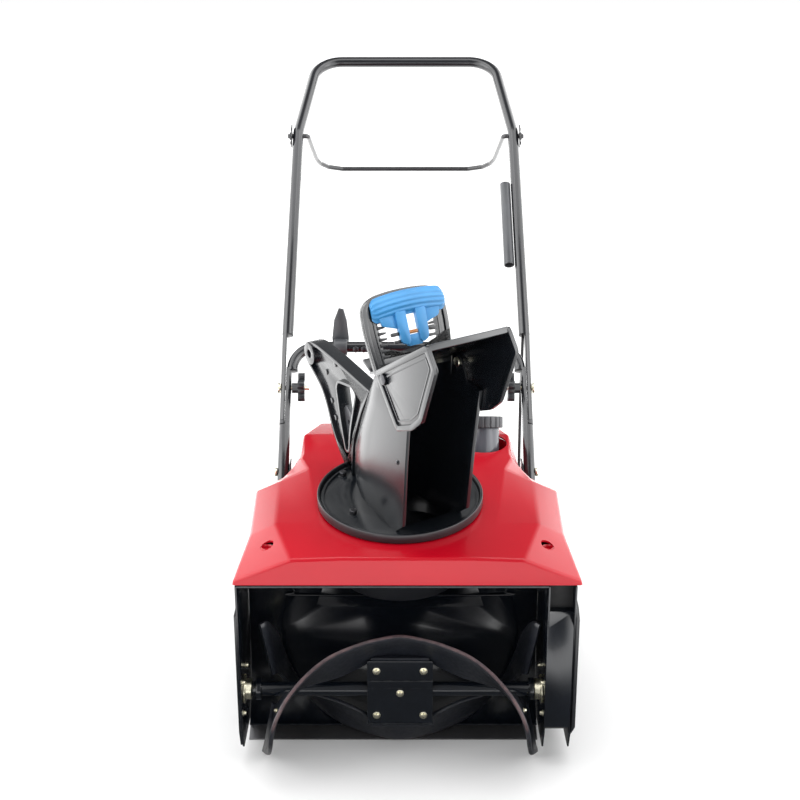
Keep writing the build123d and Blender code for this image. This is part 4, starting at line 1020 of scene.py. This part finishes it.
chute_walls()
chute_flange()
deflector()
handle_frame()
trigger()
arm()
paddle("front_paddle", "front_paddle_blade", 1)
paddle("rear_paddle", "rear_paddle_blade", -1)
clamp_plates()
small_hardware()
screw_cups()
intake_details()
front_closures()
handle_details()
cords()
hood()
REBUILT = {
    "chute_body",
    "deflector",
    "deflector_handle",
    "deflector_trigger",
    "chute_arm",
    "hood",
    "front_paddle",
    "rear_paddle",
    "paddle_plates",
    "paddle_bolts",
    "hood_screws",
}
for node in NODES:
    if node not in REBUILT:
        softened(node)


# ---- stage --------------------------------------------------------------------------------
def area_light(name, place, aim, size, power, colour=(1, 1, 1)):
    """A soft rectangular light aimed at a point."""
    data = bpy.data.lights.new(name, "AREA")
    data.shape = "RECTANGLE"
    data.size, data.size_y = size
    data.energy = power
    data.color = colour
    obj = bpy.data.objects.new(name, data)
    obj.location = place
    obj.rotation_euler = (Vector(aim) - Vector(place)).to_track_quat("-Z", "Y").to_euler()
    bpy.context.scene.collection.objects.link(obj)


def surround(tree):
    """Even white surroundings; reflections see a brighter panel on each side and a dim middle."""
    background = tree.nodes["Background"]
    background.inputs["Color"].default_value = (1, 1, 1, 1)
    path = tree.nodes.new("ShaderNodeLightPath")
    coords = tree.nodes.new("ShaderNodeTexCoord")
    panels = sideways(tree, coords.outputs["Generated"], 0.22, 0.55, 0.3, 3.5)
    glossy = math_node(tree, "MULTIPLY", path.outputs["Is Glossy Ray"], panels)
    plain = math_node(tree, "SUBTRACT", 1.0, path.outputs["Is Glossy Ray"])
    tree.links.new(math_node(tree, "ADD", glossy, plain), background.inputs["Strength"])


def floor_material():
    """Matt white floor that glows as a bright sweep in reflections away from the machine, dimmed near it as
    painted shadow.
    """
    look = Look("floor_white")
    tree = look.tree
    look.bsdf.inputs["Base Color"].default_value = (0.86, 0.86, 0.86, 1)
    look.link(look.ramp(look.noise(3, 3), 0.3, 0.7, 0.55, 0.65), look.bsdf.inputs["Roughness"])
    path = look.add("ShaderNodeLightPath")
    glow = look.add("ShaderNodeEmission")
    distance = look.add("ShaderNodeVectorMath", operation="LENGTH")
    look.link(look.coords, distance.inputs[0])
    # Painted shadow: the glow seen in reflections drops near the machine, where its shadow would fall on the
    # floor.
    look.link(ranged(tree, distance.outputs["Value"], 0.45, 1.15, 0.12, 3.0), glow.inputs["Strength"])
    lift = look.add("ShaderNodeEmission")
    split = look.add("ShaderNodeSeparateXYZ")
    look.link(look.coords, split.inputs[0])
    away = math_node(tree, "MAXIMUM", sideways(tree, look.coords, 0.4, 1.2, 0.1, 0.5),
                     ranged(tree, split.outputs["Y"], 0.6, 1.6, 0.1, 0.5))
    look.link(math_node(tree, "MULTIPLY", path.outputs["Is Camera Ray"], away), lift.inputs["Strength"])
    matt = look.add("ShaderNodeAddShader")
    look.link(look.bsdf.outputs[0], matt.inputs[0])
    look.link(lift.outputs[0], matt.inputs[1])
    blend = look.add("ShaderNodeMixShader")
    look.link(path.outputs["Is Glossy Ray"], blend.inputs[0])
    look.link(matt.outputs[0], blend.inputs[1])
    look.link(glow.outputs[0], blend.inputs[2])
    look.link(blend.outputs[0], tree.nodes["Material Output"].inputs["Surface"])
    return look.mat


def studio():
    """Pale floor, white surroundings, soft lights and the camera."""
    floor_bm = bmesh.new()
    bmesh.ops.create_grid(floor_bm, x_segments=1, y_segments=1, size=14)
    mesh = bpy.data.meshes.new("floor")
    floor_bm.to_mesh(mesh)
    floor_bm.free()
    floor = bpy.data.objects.new("floor", mesh)
    bpy.context.scene.collection.objects.link(floor)
    mesh.materials.append(floor_material())
    world = bpy.data.worlds.new("studio")
    bpy.context.scene.world = world
    world.use_nodes = True
    surround(world.node_tree)
    area_light("left_softbox", (-2.6, -0.6, 1.7), (0, 0.1, 0.4), (2.2, 2.4), 30)
    area_light("right_softbox", (2.6, -0.8, 1.5), (0, 0.1, 0.4), (1.2, 2.4), 18)
    area_light("top_softbox", (0, 0.2, 3.2), (0, 0.2, 0), (2.4, 1.6), 34)
    camera_data = bpy.data.cameras.new("camera")
    camera_data.lens = 67.3
    camera = bpy.data.objects.new("camera", camera_data)
    target = Vector((-0.012, 0.1535, 0.5807))
    elevation = math.radians(20)
    camera.location = target + Vector((0, -math.cos(elevation), math.sin(elevation))) * 2.6
    camera.rotation_euler = (target - camera.location).to_track_quat("-Z", "Y").to_euler()
    bpy.context.scene.collection.objects.link(camera)
    bpy.context.scene.camera = camera
    bpy.context.scene.view_settings.view_transform = "Standard"


studio()
